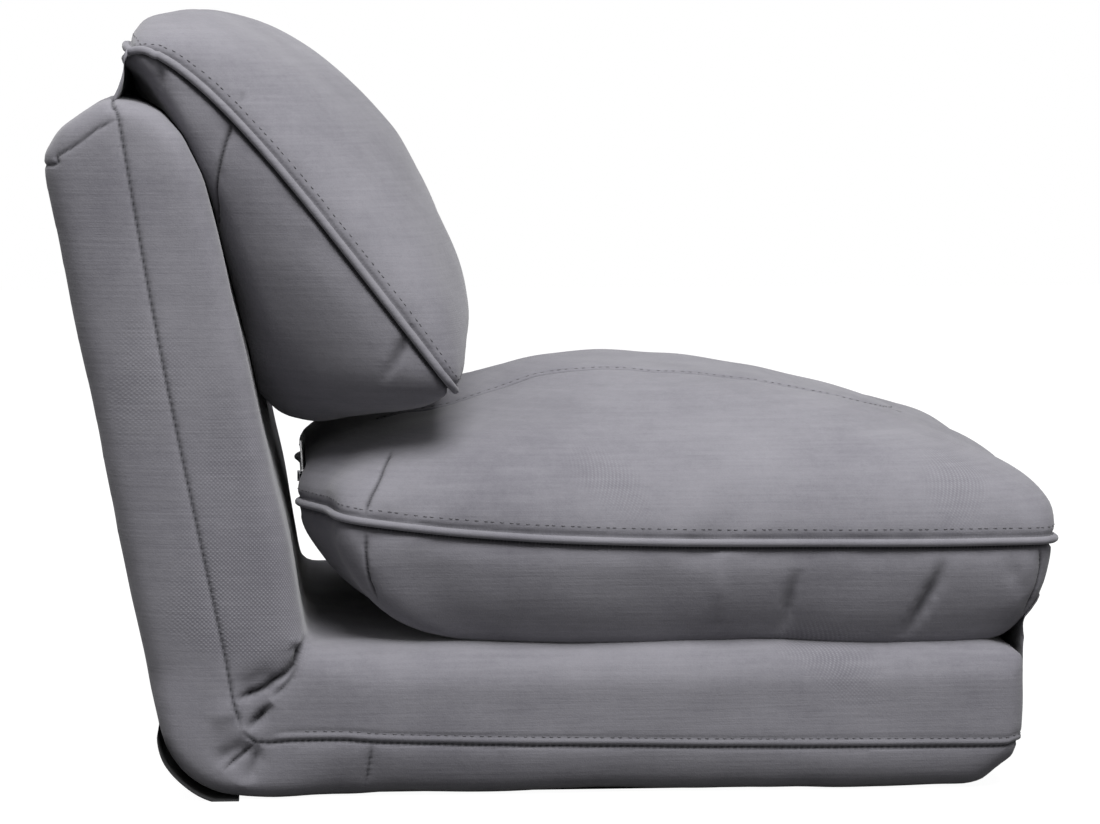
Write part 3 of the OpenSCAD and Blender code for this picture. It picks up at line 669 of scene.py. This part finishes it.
# seams and folds of the mattress, the same on both sides
mattressLines = {
    "weltLine": [
        (-0.2477, 0.056), (-0.2445, 0.0516), (-0.2382, 0.0471), (-0.2331, 0.0465), (-0.2269, 0.0459),
        (-0.2092, 0.0475), (-0.1685, 0.0474), (-0.1374, 0.0451), (-0.044, 0.0416), (0.1126, 0.038),
        (0.2703, 0.0359), (0.35, 0.0355)
    ],
    "weltFront": 0.0355,
    "weltInsets": (0.012, 0.03),
    "weltCorner": (0.006, 0.004),  # how far in from the front and the side
    "straight": 0.1,  # half of the straight stretch of the lines across
    "weltBand": 0.0075,  # from the dark line up to the topstitching
    "bandEnds": 12,  # points without topstitching at each end
    "backSeam": [
        (-0.0029, -0.0117), (-0.0053, 0.0129), (-0.0047, 0.051), (-0.0053, 0.1092), (-0.006, 0.1886),
        (-0.0063, 0.2509), (-0.006, 0.3003), (-0.005, 0.3539), (-0.0036, 0.4059), (-0.0022, 0.4492),
        (-0.0017, 0.4707), (-0.0027, 0.482)
    ],
    # the way across the chair: near the side, in the middle, and how far in it starts
    "backTop": {"edge": (-0.003, 0.488), "middle": (-0.003, 0.489), "inset": 0.012},
    "capSeam": [(-0.002, 0.4708), (-0.0206, 0.4652), (-0.0378, 0.4569), (-0.0545, 0.4509)],
    "capRear": {"edge": (-0.066, 0.446), "middle": (-0.067, 0.446), "inset": 0.014},
    "lowerSeam": [(-0.1475, 0.0453), (-0.149, 0.032), (-0.151, 0.018), (-0.1535, 0.004)],
    # folds, with shade painted into their creases as strong as dark
    "folds": [
        ([(-0.2535, 0.08), (-0.2401, 0.0851), (-0.2318, 0.0887), (-0.2245, 0.0943), (-0.2152, 0.1),
          (-0.2079, 0.1078), (-0.2016, 0.1182), (-0.195, 0.13)],
         dict(depth=0.0055, width=0.0026, soft=0.004, spread=0.012)),
        ([(-0.2454, 0.056), (-0.2423, 0.0589), (-0.2319, 0.0693), (-0.2236, 0.0776)],
         dict(depth=0.007, width=0.0028, soft=0.003, spread=0.009)),
        ([(-0.2267, 0.0808), (-0.2162, 0.089), (-0.2089, 0.0994), (-0.2048, 0.1099)],
         dict(depth=0.0035, width=0.002, dark=0.6)),
        ([(-0.2367, 0.0473), (-0.25, 0.0355), (-0.2643, 0.0235)],
         dict(depth=0.004, width=0.0017, soft=0.0025, spread=0.009)),
        ([(-0.2352, 0.0467), (-0.2373, 0.0378), (-0.2405, 0.0294), (-0.2447, 0.0211), (-0.2489, 0.0117)],
         dict(depth=0.0035, width=0.0034, dark=0.45, soft=0.0035, spread=0.011)),
        ([(-0.2424, 0.0468), (-0.2559, 0.0402), (-0.2735, 0.031)],
         dict(depth=0.003, width=0.0045, dark=0.15, soft=0.001)),
        ([(-0.2487, 0.0772), (-0.2567, 0.0718), (-0.2766, 0.0626)],
         dict(depth=-0.003, width=0.008, dark=0.0)),
        ([(-0.252, 0.0905), (-0.237, 0.0965), (-0.222, 0.104)],
         dict(depth=0.0018, width=0.006, dark=0.08)),
    ],
}
# dark sets how much shade is painted into each seam's groove
seamStyle = dict(depth=0.0021, width=0.0015, dark=0.95, soft=0.0008, spread=0.007)
capStyle = dict(seamStyle, depth=0.0016, dark=0.8)
lowerStyle = dict(seamStyle, dark=0.7)
weltStyle = dict(depth=-0.0011, width=0.0036, dark=0.0)
bandStyle = dict(depth=0.0009, width=0.0016, dark=0.2)


def bridged(surface, path, edge, middle, inset):  # a path, the way across, and its mirror image
    side, straight = mattress["width"] / 2 - inset, mattressLines["straight"]
    over = [onBack(*edge, -side), onBack(*middle, -straight), onBack(*middle, straight), onBack(*edge, side)]
    return path + nearestOn(surface, [path[-1], *over, mirrored(path)[-1]]) + mirrored(path)[::-1]


def sewMattress():
    half = mattress["width"] / 2
    lines, surface = mattressLines, surfaceOf(mattressCover)

    def onNearSide(points):
        return laidOn(surface, [(x, -half, z) for x, z in points], (0, -1, 0))

    side, lower = onNearSide(lines["weltLine"]), onNearSide(lines["lowerSeam"])
    back, cap = [onNearSide([onBack(*place).xz for place in lines[key]]) for key in ("backSeam", "capSeam")]
    level = lines["weltFront"]
    rows = [-half + inset for inset in lines["weltInsets"]] + [-lines["straight"]]
    rows += [-y for y in rows[::-1]]
    front = nearestOn(surface, [Vector((mattress["front"], y, level)) for y in rows])
    x, y = lines["weltCorner"]
    corner = nearestOn(surface, [side[-1], Vector((mattress["front"] - x, -half + y, level)), front[0]])
    welt = side + corner + front + mirrored(corner)[::-1] + mirrored(side)[::-1]
    ends = lines["bandEnds"]
    raised, band = [shifted(surface, welt[ends:-ends], Vector((0, 0, lines["weltBand"] * share)))
                    for share in (0.5, 1)]
    seams = [(welt, seamStyle), (bridged(surface, back, **lines["backTop"]), seamStyle),
             (bridged(surface, cap, **lines["capRear"]), capStyle),
             (lower, lowerStyle), (mirrored(lower), lowerStyle), (raised, weltStyle), (band, bandStyle)]
    for points, style in lines["folds"]:
        fold = onNearSide(points)
        seams += [(fold, dict(style, seed=1)), (mirrored(fold), dict(style, seed=2))]
    sewn(mattressCover, seams)
    return band


bandPath = sewMattress()
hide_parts("base_cover", "back_cover", "fold_gusset", "base_welt")
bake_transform(mattressCover)
print("mattress", len(mattressCover.data.vertices))

# cushions, made from rings that are drawn out and in along the height
ringSteps = {"between": 3, "corner": 8, "side": 24, "bow": 0.33}
cushionWaves = [(0.12, 0.005, 0), (0.045, 0.0012, 2)]  # length, height and seed
seat = {
    "rear": -0.1811, "length": 0.576, "width": 0.548, "seam": 0.1976,
    "crown": 0.126, "box": 0.0785, "lift": 0.024, "rearBow": 0.026, "sideBow": 0.004,
    # height share, drawn in at the rear, front and sides, corner, bow
    "levels": [
        (-1, 0.19, 0.07, 0.16, 0.1, 0), (-0.95, 0.14, 0.055, 0.105, 0.1, 0.1),
        (-0.82, 0.09, 0.04, 0.075, 0.1, 0.3), (-0.6, 0.045, 0.02, 0.036, 0.1, 0.6),
        (-0.3, 0.015, 0.009, 0.012, 0.1, 0.9), (-0.07, 0.005, 0.003, 0.006, 0.09, 1),
        (0.07, 0.005, 0.003, 0.008, 0.09, 1), (0.22, 0.006, 0.004, 0.03, 0.14, 1),
        (0.4, 0.04, 0.04, 0.085, 0.22, 0.9), (0.57, 0.1, 0.115, 0.18, 0.32, 0.7),
        (0.72, 0.165, 0.205, 0.3, 0.42, 0.5), (0.84, 0.225, 0.305, 0.42, 0.43, 0.3),
        (0.93, 0.275, 0.41, 0.55, 0.36, 0.1), (0.985, 0.33, 0.52, 0.72, 0.2, 0)
    ],
    "voxel": 0.0056,
}
sag = {  # the seat's rim sinks on the mattress, whose edges drop
    "from": 0.205, "width": 0.055, "drop": 0.009, "top": 0.175, "height": 0.05,
}
zipRoom = {  # the cushion is flat behind the zip
    "halfWidth": 0.17, "edge": 0.024, "halfHeight": 0.034, "rim": 0.018, "behind": 0.0005,
}
pillow = {
    "length": 0.365, "width": 0.536, "crown": 0.11, "box": 0.122, "bow": 0.023, "rearBow": 0, "sideBow": 0,
    "open": 32.5, "flapFoot": (-0.00812, 0.4888), "flapLength": 0.042, "flapAngle": 63, "standOff": 0.0094,
    "levels": [
        (-0.97, 0.70, 0.2, 0.5, 0.2, 0), (-0.85, 0.62, 0.14, 0.3, 0.22, 0),
        (-0.66, 0.5, 0.1, 0.17, 0.22, 0), (-0.46, 0.34, 0.06, 0.09, 0.2, 0),
        (-0.28, 0.15, 0.026, 0.04, 0.18, 0), (-0.12, 0.0, 0.006, 0.018, 0.14, 0),
        (-0.05, -0.015, 0.004, 0.01, 0.1, 0), (0.05, -0.02, 0.002, 0.01, 0.1, 0),
        (0.22, -0.03, 0.03, 0.04, 0.18, 0), (0.42, 0.015, 0.078, 0.11, 0.26, 0),
        (0.62, 0.1, 0.175, 0.22, 0.32, 0), (0.8, 0.195, 0.305, 0.37, 0.36, 0),
        (0.92, 0.3, 0.42, 0.54, 0.34, 0), (0.985, 0.38, 0.475, 0.74, 0.24, 0)
    ],
    "voxel": 0.0052,
    "gap": 0.001,  # from the pillow to the mattress that it leans on
}
sink = {  # the pillow's middle sinks on the backrest's top, behind the flap
    "along": 0.051, "halfLength": 0.044, "drop": 0.018, "halfWidth": 0.22, "edge": 0.1, "depth": 0.008,
}


def seatRise(share):
    return seat["lift"] * (1 - portion(share)) ** 4


def pillowRise(share):
    return pillow["bow"] * sin(pi * portion(share) ** 0.5)


def smoothLevels(levels):  # rows in between, on a smooth line through the given ones
    rows = [np.array(row, float) for row in levels]
    ends = [rows[0]] + rows + [rows[-1]]
    steps = ringSteps["between"]
    out = []
    for i in range(1, len(ends) - 2):
        out += [between(*ends[i - 1:i + 3], j / steps) for j in range(steps)]
    out.append(rows[-1])
    return out


def ringPlan(low, high, half, corner, sideBow, rearBow):
    corner = min(corner, (high - low) / 2, half) * 0.999
    middle, reach = (low + high) / 2, (high - low) / 2
    ring = []
    for quarter in range(4):
        sx = 1 if quarter in (0, 3) else -1
        sy = 1 if quarter < 2 else -1
        for i in range(ringSteps["corner"] + 1):
            angle = radians(90 * quarter + 90 * i / ringSteps["corner"])
            ring.append((middle + sx * (reach - corner) + corner * cos(angle),
                         sy * (half - corner) + corner * sin(angle)))
        for i in range(1, ringSteps["side"]):
            f = 1 - 2 * i / ringSteps["side"]
            bow = min(1, (1 - abs(f)) / ringSteps["bow"])
            bow = bow * bow * (3 - 2 * bow)
            if quarter in (0, 2):
                ring.append((middle + sx * f * (reach - corner), sy * (half + sideBow * bow)))
            elif quarter == 1:
                ring.append((low - rearBow * bow, sy * f * (half - corner)))
            else:
                ring.append((high, sy * f * (half - corner)))
    return ring


def ringPlaces(row, size, rise):  # one row of levels as a ring of places
    height, rear, front, side, corner, bow = row
    length, half = size["length"], size["width"] / 2
    ring = ringPlan(length * rear, length * (1 - front), half * (1 - side), max(half * corner, 0.002),
                    size["sideBow"] * bow, size["rearBow"] * bow)
    z = height * (size["crown"] if height > 0 else size["box"])
    fade = max(0.0, 1 - abs(height)) ** 0.7
    return [Vector((x, y, z + fade * rise(x / length))) for x, y in ring]


def nextRing(bm, edge, loop):  # extrudes a ring, and keeps the order of its vertices
    made = bmesh.ops.extrude_edge_only(bm, edges=loop)["geom"]
    follows = {}
    for face in [g for g in made if isinstance(g, bmesh.types.BMFace)]:
        for a, b in [e.verts for e in face.edges]:
            if (a in edge) != (b in edge):
                follows[a if a in edge else b] = b if a in edge else a
    return [follows[vert] for vert in edge], [g for g in made if isinstance(g, bmesh.types.BMEdge)]


def stackRings(size, rise):
    bm = bmesh.new()
    edge = None
    for row in smoothLevels(size["levels"]):
        places = ringPlaces(row, size, rise)
        if edge is None:
            edge = list(bmesh.ops.create_circle(bm, segments=len(places), radius=1)["verts"])
            loop = list(bm.edges)
        else:
            edge, loop = nextRing(bm, edge, loop)
        for vert, place in zip(edge, places):
            vert.co = place
    bmesh.ops.holes_fill(bm, edges=[e for e in bm.edges if e.is_boundary], sides=0)
    bmesh.ops.triangulate(bm, faces=[f for f in bm.faces if len(f.verts) > 4])
    bmesh.ops.recalc_face_normals(bm, faces=bm.faces)
    return bm


def makeCushion(name, size, rise, place):
    bm = stackRings(size, rise)
    bmesh.ops.transform(bm, matrix=place, verts=bm.verts)
    piece = toPiece(bm, name, "suede")
    remesh(piece, size["voxel"])
    relax(piece, 3)
    for length, height, seed in cushionWaves:
        swell(piece, length, height, len(name) + seed)
    return piece


def findPillowPlace():
    flapTurn = radians(pillow["flapAngle"])
    across = pillow["flapFoot"][0] + pillow["flapLength"] * cos(flapTurn)
    along = pillow["flapFoot"][1] + pillow["flapLength"] * sin(flapTurn)
    turn = Matrix.Rotation(radians(90 - pillow["open"]), 4, "Y")
    return (Matrix.Translation(pivot) @ Matrix.Rotation(-lean, 4, "Y")
            @ Matrix.Translation((across, 0, along)) @ turn @ Matrix.Translation((pillow["standOff"], 0, 0)))


def flattenBehindZip(piece):
    for vert in piece.data.vertices:
        across = portion(zipRoom["halfWidth"] - abs(vert.co.y), zipRoom["edge"])
        near = portion(zipRoom["halfHeight"] - abs(vert.co.z - zipLevel), zipRoom["rim"])
        vert.co.x += max(zipHigh.x - zipRoom["behind"] - vert.co.x, 0) * across * near


def sinkRim(piece):
    for vert in piece.data.vertices:
        share = portion(abs(vert.co.y) - sag["from"], sag["width"])
        low = portion(sag["top"] - vert.co.z, sag["height"])
        vert.co.z -= sag["drop"] * share * share * (3 - 2 * share) * low


def sinkMiddle(piece):
    inwards = pillowPlace.inverted()
    for vert in piece.data.vertices:
        x, y, z = inwards @ vert.co
        middle = portion(sink["halfWidth"] - abs(y), sink["edge"])
        length = max(1 - ((x - sink["along"]) / sink["halfLength"]) ** 2, 0)
        share = length * middle * portion(-z, sink["depth"])
        vert.co = pillowPlace @ Vector((x, y, z - sink["drop"] * share))


def pressedOn(piece, surface, gap, reach=0.09):  # presses what lies inside another piece flat on it
    for vert in piece.data.vertices:
        place, normal, face, distance = surface.find_nearest(vert.co)
        if (vert.co - place).dot(normal) < gap and distance < reach:
            vert.co = place + normal * gap


zipLow, zipHigh = map(Vector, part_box("seat_zip_tape"))
zipLevel = (zipLow.z + zipHigh.z) / 2
seatPlace = Matrix.Translation((seat["rear"], 0, seat["seam"]))
seatCushion = makeCushion("seatCushion", seat, seatRise, seatPlace)
flattenBehindZip(seatCushion)
sinkRim(seatCushion)
pillowPlace = findPillowPlace()
headPillow = makeCushion("headPillow", pillow, pillowRise, pillowPlace)
sinkMiddle(headPillow)
pressedOn(headPillow, surfaceOf(mattressCover), pillow["gap"])
relax(headPillow, 2)
pressedOn(headPillow, surfaceOf(mattressCover), pillow["gap"])
print("cushions", len(seatCushion.data.vertices), len(headPillow.data.vertices))

# cushion seams, piping and stitches
# dark sets how much shade is painted into each seam's groove, strongest in the seam below the piping
cushionStyle = dict(depth=0.0024, width=0.0017, dark=0.95, soft=0.001, spread=0.008, pucker=0.0009,
                    wave=0.022)
pipingCut = dict(depth=0.0036, width=0.0024, dark=1.0, soft=0.0022, spread=0.011, pucker=0.0016, wave=0.026)
pipingOver = dict(pipingCut, depth=0.0012, dark=0.3, soft=0.0)
piping = {"radius": 0.0031, "cut": 0.0042}  # of the cord, and from its middle to the dark seam
seatLines = {
    "crown": [
        (-0.145, -0.075), (-0.06, -0.082), (0.04, -0.09), (0.13, -0.097), (0.21, -0.1), (0.262, -0.094),
        (0.294, -0.068), (0.304, -0.03), (0.304, 0.03)
    ],
    "front": 0.07,  # half of the crown's straight stretch at the front
    "crownTwin": 0.006,  # from the crown's seam to the one beside it
    "crownStyle": dict(cushionStyle, depth=0.0018, soft=0.0012, dark=0.75),
    "twinStyle": dict(depth=0.0006, width=0.0016, dark=0.15),
    "corners": [
        [(-0.1298, -0.2105, 0.2675), (-0.1404, -0.2525, 0.2508), (-0.1495, -0.2695, 0.2309),
         (-0.1512, -0.2725, 0.2187)],
        [(-0.1512, -0.2725, 0.2101), (-0.152, -0.2675, 0.1759), (-0.1488, -0.2605, 0.1609),
         (-0.144, -0.255, 0.147)],
        [(0.3784, -0.2715, 0.1933), (0.3818, -0.2665, 0.1792), (0.3809, -0.2635, 0.1653),
         (0.3773, -0.2615, 0.1517), (0.371, -0.256, 0.132)],
    ],
    # folds in the box, with shade painted into their creases as strong as dark
    "folds": [
        ([(0.1247, -0.2735, 0.196), (0.125, -0.2725, 0.168), (0.1252, -0.2685, 0.142),
          (0.1252, -0.262, 0.128)],
         dict(depth=-0.0026, width=0.006, dark=0.0, fade=0.03)),
        ([(0.1865, -0.2735, 0.178), (0.182, -0.272, 0.162), (0.1802, -0.2695, 0.15), (0.178, -0.264, 0.134),
          (0.1736, -0.25, 0.12)],
         dict(depth=0.0052, width=0.0045, dark=0.3, fade=0.028)),
        ([(0.301, -0.2735, 0.186), (0.297, -0.2725, 0.175), (0.2913, -0.2705, 0.16), (0.284, -0.268, 0.144),
          (0.276, -0.26, 0.128), (0.27, -0.25, 0.12)],
         dict(depth=0.0066, width=0.0048, dark=0.5, fade=0.03)),
        ([(0.352, -0.2735, 0.194), (0.3545, -0.2725, 0.182), (0.358, -0.2715, 0.168),
          (0.3664, -0.2665, 0.1504)],
         dict(depth=0.0028, width=0.006, dark=0.0, fade=0.026)),
    ],
}
pillowLines = {
    "seam": [
        (0.0908, -0.265, 0.0226), (0.0953, -0.265, 0.015), (0.101, -0.264, 0.003), (0.11, -0.258, -0.0111),
        (0.1202, -0.25, -0.0264), (0.131, -0.238, -0.044), (0.14, -0.22, -0.062)
    ],
    # folds in the side, with shade painted into their creases as strong as dark
    "folds": [
        ([(0.0217, -0.265, 0.0129), (0.0256, -0.264, 0.0069), (0.03, -0.26, 0.0004), (0.036, -0.252, -0.01)],
         dict(depth=0.0034, width=0.0045, dark=0.35)),
        ([(0.0835, -0.256, 0.045), (0.0845, -0.261, 0.0412), (0.0863, -0.264, 0.034)],
         dict(depth=0.0024, width=0.003, dark=0.45)),
        ([(0.3, -0.266, 0.013), (0.3033, -0.265, 0.005), (0.3093, -0.262, -0.0102), (0.3149, -0.258, -0.0251),
          (0.319, -0.25, -0.038)],
         dict(depth=0.0046, width=0.004, dark=0.35, fade=0.022)),
    ],
}


def seamRing(size, rise, place):  # the line where a cushion's crown meets its box
    rows = np.array(size["levels"], float)
    row = [float(np.interp(0.0, rows[:, 0], column)) for column in rows.T]
    points = [place @ point for point in ringPlaces(row, size, rise)]
    return curveThrough(points + points[:2], 0.0025)[:-2]


def pipingSeams(surface, ring, down):  # the cord's path, and the seams below and above it
    cord, cut, over = [shifted(surface, ring, down * (piping["cut"] * side)) for side in (0, 1, -1)]
    return cord, [(cut, pipingCut), (over, pipingOver)]


def onBothSides(surface, lines, place=Matrix()):  # lines with their styles, and their mirror images
    return [(nearestOn(surface, [place @ Vector((x, y * side, z)) for x, y, z in points]), style)
            for points, style in lines for side in (1, -1)]


def sewSeat():
    surface = surfaceOf(seatCushion)
    cord, seams = pipingSeams(surface, seamRing(seat, seatRise, seatPlace), Vector((0, 0, -1)))
    crown = seatLines["crown"] + [(x, -y) for x, y in seatLines["crown"][-2::-1]]
    beside = seatLines["crownTwin"]
    twin = [(x - (beside if abs(y) < seatLines["front"] else 0), y - copysign(beside, y)) for x, y in crown]
    crownLine, twinLine = [laidOn(surface, [(x, y, 0) for x, y in line], (0, 0, 1)) for line in (crown, twin)]
    seams += [(crownLine, seatLines["crownStyle"]), (twinLine, seatLines["twinStyle"])]
    seams += onBothSides(surface, [(points, cushionStyle) for points in seatLines["corners"]])
    seams += onBothSides(surface, [(points, dict(style, seed=seed))
                                   for seed, (points, style) in enumerate(seatLines["folds"])])
    sewn(seatCushion, seams)
    return cord, twinLine


def sewPillow():
    surface = surfaceOf(headPillow)
    down = pillowPlace.to_3x3() @ Vector((0, 0, -1))
    cord, seams = pipingSeams(surface, seamRing(pillow, pillowRise, pillowPlace), down)
    lines = [(pillowLines["seam"], dict(cushionStyle, depth=0.003))] + pillowLines["folds"]
    sewn(headPillow, seams + onBothSides(surface, lines, pillowPlace))
    return cord


seatCord, seatTwinLine = sewSeat()
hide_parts("seat_cover")
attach(seatCushion, "seat")
seatPiping = tube("seatPiping", seatCord, piping["radius"], "suede_trim")
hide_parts("seat_piping")
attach(seatPiping, "seat")

pillowCord = sewPillow()
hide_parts("pillow_cover")
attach(headPillow, "pillow")
pillowPiping = tube("pillowPiping", pillowCord, piping["radius"], "suede_trim")
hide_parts("pillow_piping")
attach(pillowPiping, "pillow")
print("sewing", len(seatCushion.data.vertices), len(headPillow.data.vertices))

# fillings, a little smaller than their covers so that no fold shows them
fillings = {
    "base_foam_upper": ("base", "foam", 0.009),
    "base_foam_lower": ("base", "foam", 0.009),
    "back_foam_front": ("backrest", "foam", 0.009),
    "back_foam_rear": ("backrest", "foam", 0.009),
    "seat_foam": ("seat", "foam", 0.019),
    "seat_fill": ("seat", "fibre", 0.013),
    "pillow_fill": ("pillow", "fibre", 0.011),
}
fillingVoxel = 0.011


def makeFilling(node, body, look, inset):
    bm = bmesh.new()
    bm.from_mesh(frame["nodes"][node].data)
    bmesh.ops.remove_doubles(bm, verts=bm.verts, dist=1e-5)
    bmesh.ops.recalc_face_normals(bm, faces=bm.faces)
    first, *words = node.split("_")
    piece = toPiece(bm, first + "".join(word.capitalize() for word in words) + "Soft", look)
    remesh(piece, fillingVoxel)
    pushOut(piece, lambda place: -inset)
    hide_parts(node)
    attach(piece, body)
    return piece


seatSoft = [seatCushion, seatPiping]  # the seat's soft pieces
for node, (body, look, inset) in fillings.items():
    filling = makeFilling(node, body, look, inset)
    if body == "seat":
        seatSoft.append(filling)
print("fillings")

# sheets: the flap of the head pillow and the black cloth round the fold
flap = {
    "line": [(-0.0035, 0.4862), (0.0025, 0.4935), (0.0072, 0.5055), (0.0108, 0.5165), (0.0166, 0.5228)],
    "halfWidth": 0.262,
    "thickness": 0.0055,
    "faces": (14, 90),
    "wave": 0.0025,
}
foldCloth = {
    "halfWidth": 0.277, "radius": 0.0688, "from": 194, "to": 267, "loose": 0.0035, "thickness": 0.0012,
    "lowest": 0.0006, "faces": (30, 80),
}


def gridSheet(name, look, sheet, place):
    bm = bmesh.new()
    columns, rows = sheet["faces"]
    bmesh.ops.create_grid(bm, x_segments=columns, y_segments=rows, size=0.5)
    for vert in bm.verts:
        vert.co = place(vert.co.x + 0.5, vert.co.y * 2 * sheet["halfWidth"])
    bmesh.ops.solidify(bm, geom=bm.faces[:], thickness=sheet["thickness"])
    bmesh.ops.recalc_face_normals(bm, faces=bm.faces)
    return toPiece(bm, name, look)


def flapPlace(along, y):
    point = alongLine(flapLine, along)
    wave = noise.noise(Vector((y * 14, along * 2, 3))) * flap["wave"] * sin(pi * along)
    return Vector((point.x + wave, y, point.z))


def clothPlace(along, y):
    angle = radians(foldCloth["from"] + along * (foldCloth["to"] - foldCloth["from"]))
    wave = 0.8 + 0.5 * noise.noise(Vector((y * 9, along * 3, 1)))
    radius = foldCloth["radius"] + foldCloth["loose"] * sin(pi * along) ** 0.7 * wave
    height = max(foldCloth["lowest"], pivot.z + radius * sin(angle))
    return Vector((pivot.x + radius * cos(angle), y, height))


flapLine = curveThrough([onBack(*place) for place in flap["line"]], 0.004)
pillowFlap = gridSheet("pillowFlap", "suede", flap, flapPlace)
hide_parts("pillow_flap")
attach(pillowFlap, "pillow")

foldSheet = gridSheet("foldCloth", "bottom_cloth", foldCloth, clothPlace)
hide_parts("fold_cloth")
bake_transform(foldSheet)
print("sheets")

# topstitching
topstitch = {"pitch": 0.0068, "length": 0.0036, "radius": 0.00045, "lift": 0.0001, "above": 0.0105,
             "fromFold": 0.04}


def stitches(name, piece, path, body):
    surface = surfaceOf(piece)
    bm = bmesh.new()
    size = Matrix.Diagonal((topstitch["length"] / 2, topstitch["radius"], topstitch["radius"], 1))
    travelled = 0.0
    for a, b in zip(path, path[1:]):
        travelled += (b - a).length
        if travelled < topstitch["pitch"]:
            continue
        travelled -= topstitch["pitch"]
        along = (b - a).normalized()
        place, normal = surface.find_nearest(b)[:2]
        place = Matrix.Translation(place + normal * topstitch["lift"])
        side = along.cross(normal).normalized()
        turn = Matrix((along, side, side.cross(along) * -1)).transposed().to_4x4()
        made = bmesh.ops.create_icosphere(bm, subdivisions=1, radius=1)
        bmesh.ops.transform(bm, matrix=place @ turn @ size, verts=made["verts"])
    made = toPiece(bm, name, "thread")
    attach(made, body)
    return made


def pipingRow(size, rise, place):  # the row of stitches above a cushion's piping
    return seamRing(size, rise, place @ Matrix.Translation((0, 0, topstitch["above"])))


seatSoft.append(stitches("seatStitches", seatCushion, pipingRow(seat, seatRise, seatPlace), "seat"))
seatSoft.append(stitches("seatCrownStitches", seatCushion, seatTwinLine, "seat"))
stitches("pillowStitches", headPillow, pipingRow(pillow, pillowRise, pillowPlace), "pillow")
bandPath = [p for p in bandPath if p.x > pivot.x + topstitch["fromFold"]]
stitches("weltStitches", mattressCover, bandPath, "base")

# the zip's teeth at the seat's rear
zipTeeth = {"pitch": 0.0035, "size": (0.0016, 0.0017, 0.005), "proud": 0.0004}


def makeTeeth():
    bm = bmesh.new()
    size = Matrix.Diagonal((*zipTeeth["size"], 1))
    count = int((zipHigh.y - zipLow.y) / zipTeeth["pitch"]) - 2
    for i in range(count):
        made = bmesh.ops.create_cube(bm, size=1)
        y = zipLow.y + (i + 1.5) * zipTeeth["pitch"]
        place = Matrix.Translation((zipLow.x - zipTeeth["proud"], y, zipLevel))
        bmesh.ops.transform(bm, matrix=place @ size, verts=made["verts"])
    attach(toPiece(bm, "zipTeeth", "zip_metal", smooth=False), "seat")


makeTeeth()
print("stitches and teeth")

# the cloth strip that the seat turns on, and the seat's soft pieces
strip = {
    "line": [(0.3686, 0.083), (0.3686, 0.113), (0.3706, 0.1235), (0.3752, 0.1335), (0.3872, 0.1515)],
    "halfWidth": 0.252,
    "thickness": 0.0013,
    "faces": (24, 90),
    "wave": 0.0008,
    "laidFrom": 0.5,  # share of its length from which it comes down on the seat
    "laidOver": 0.2,
    "clear": 0.0006,
    "bend": [(0.3686, 0, 0.104), (0.374, 0, 0.132)],
}


def stripPlace(along, y):
    point = alongLine(stripLine, along)
    wave = noise.noise(Vector((y * 20, along * (len(stripLine) - 1), 0))) * strip["wave"]
    point = Vector((point.x + wave, y, point.z))
    place, normal = seatFront.find_nearest(point)[:2]
    return point.lerp(place + normal * strip["clear"], portion(along - strip["laidFrom"], strip["laidOver"]))


stripLine = curveThrough([(x, 0, z) for x, z in strip["line"]], 0.003)
seatFront = surfaceOf(seatCushion)
hingeStrip = gridSheet("hingeStrip", "suede", strip, stripPlace)
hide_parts("seat_hinge_strip")
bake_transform(hingeStrip)

# the plane through the seat's hinge and its zip is worked out, and each soft piece of the seat gets a mesh of its
# own
hinge = pivots["seat_unfold"]
up, back = zipLevel - hinge[2], zipHigh.x - hinge[0]
length = hypot(up, back)
for piece in seatSoft:
    up / length
    -back / length
    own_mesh(piece)
print("motion")
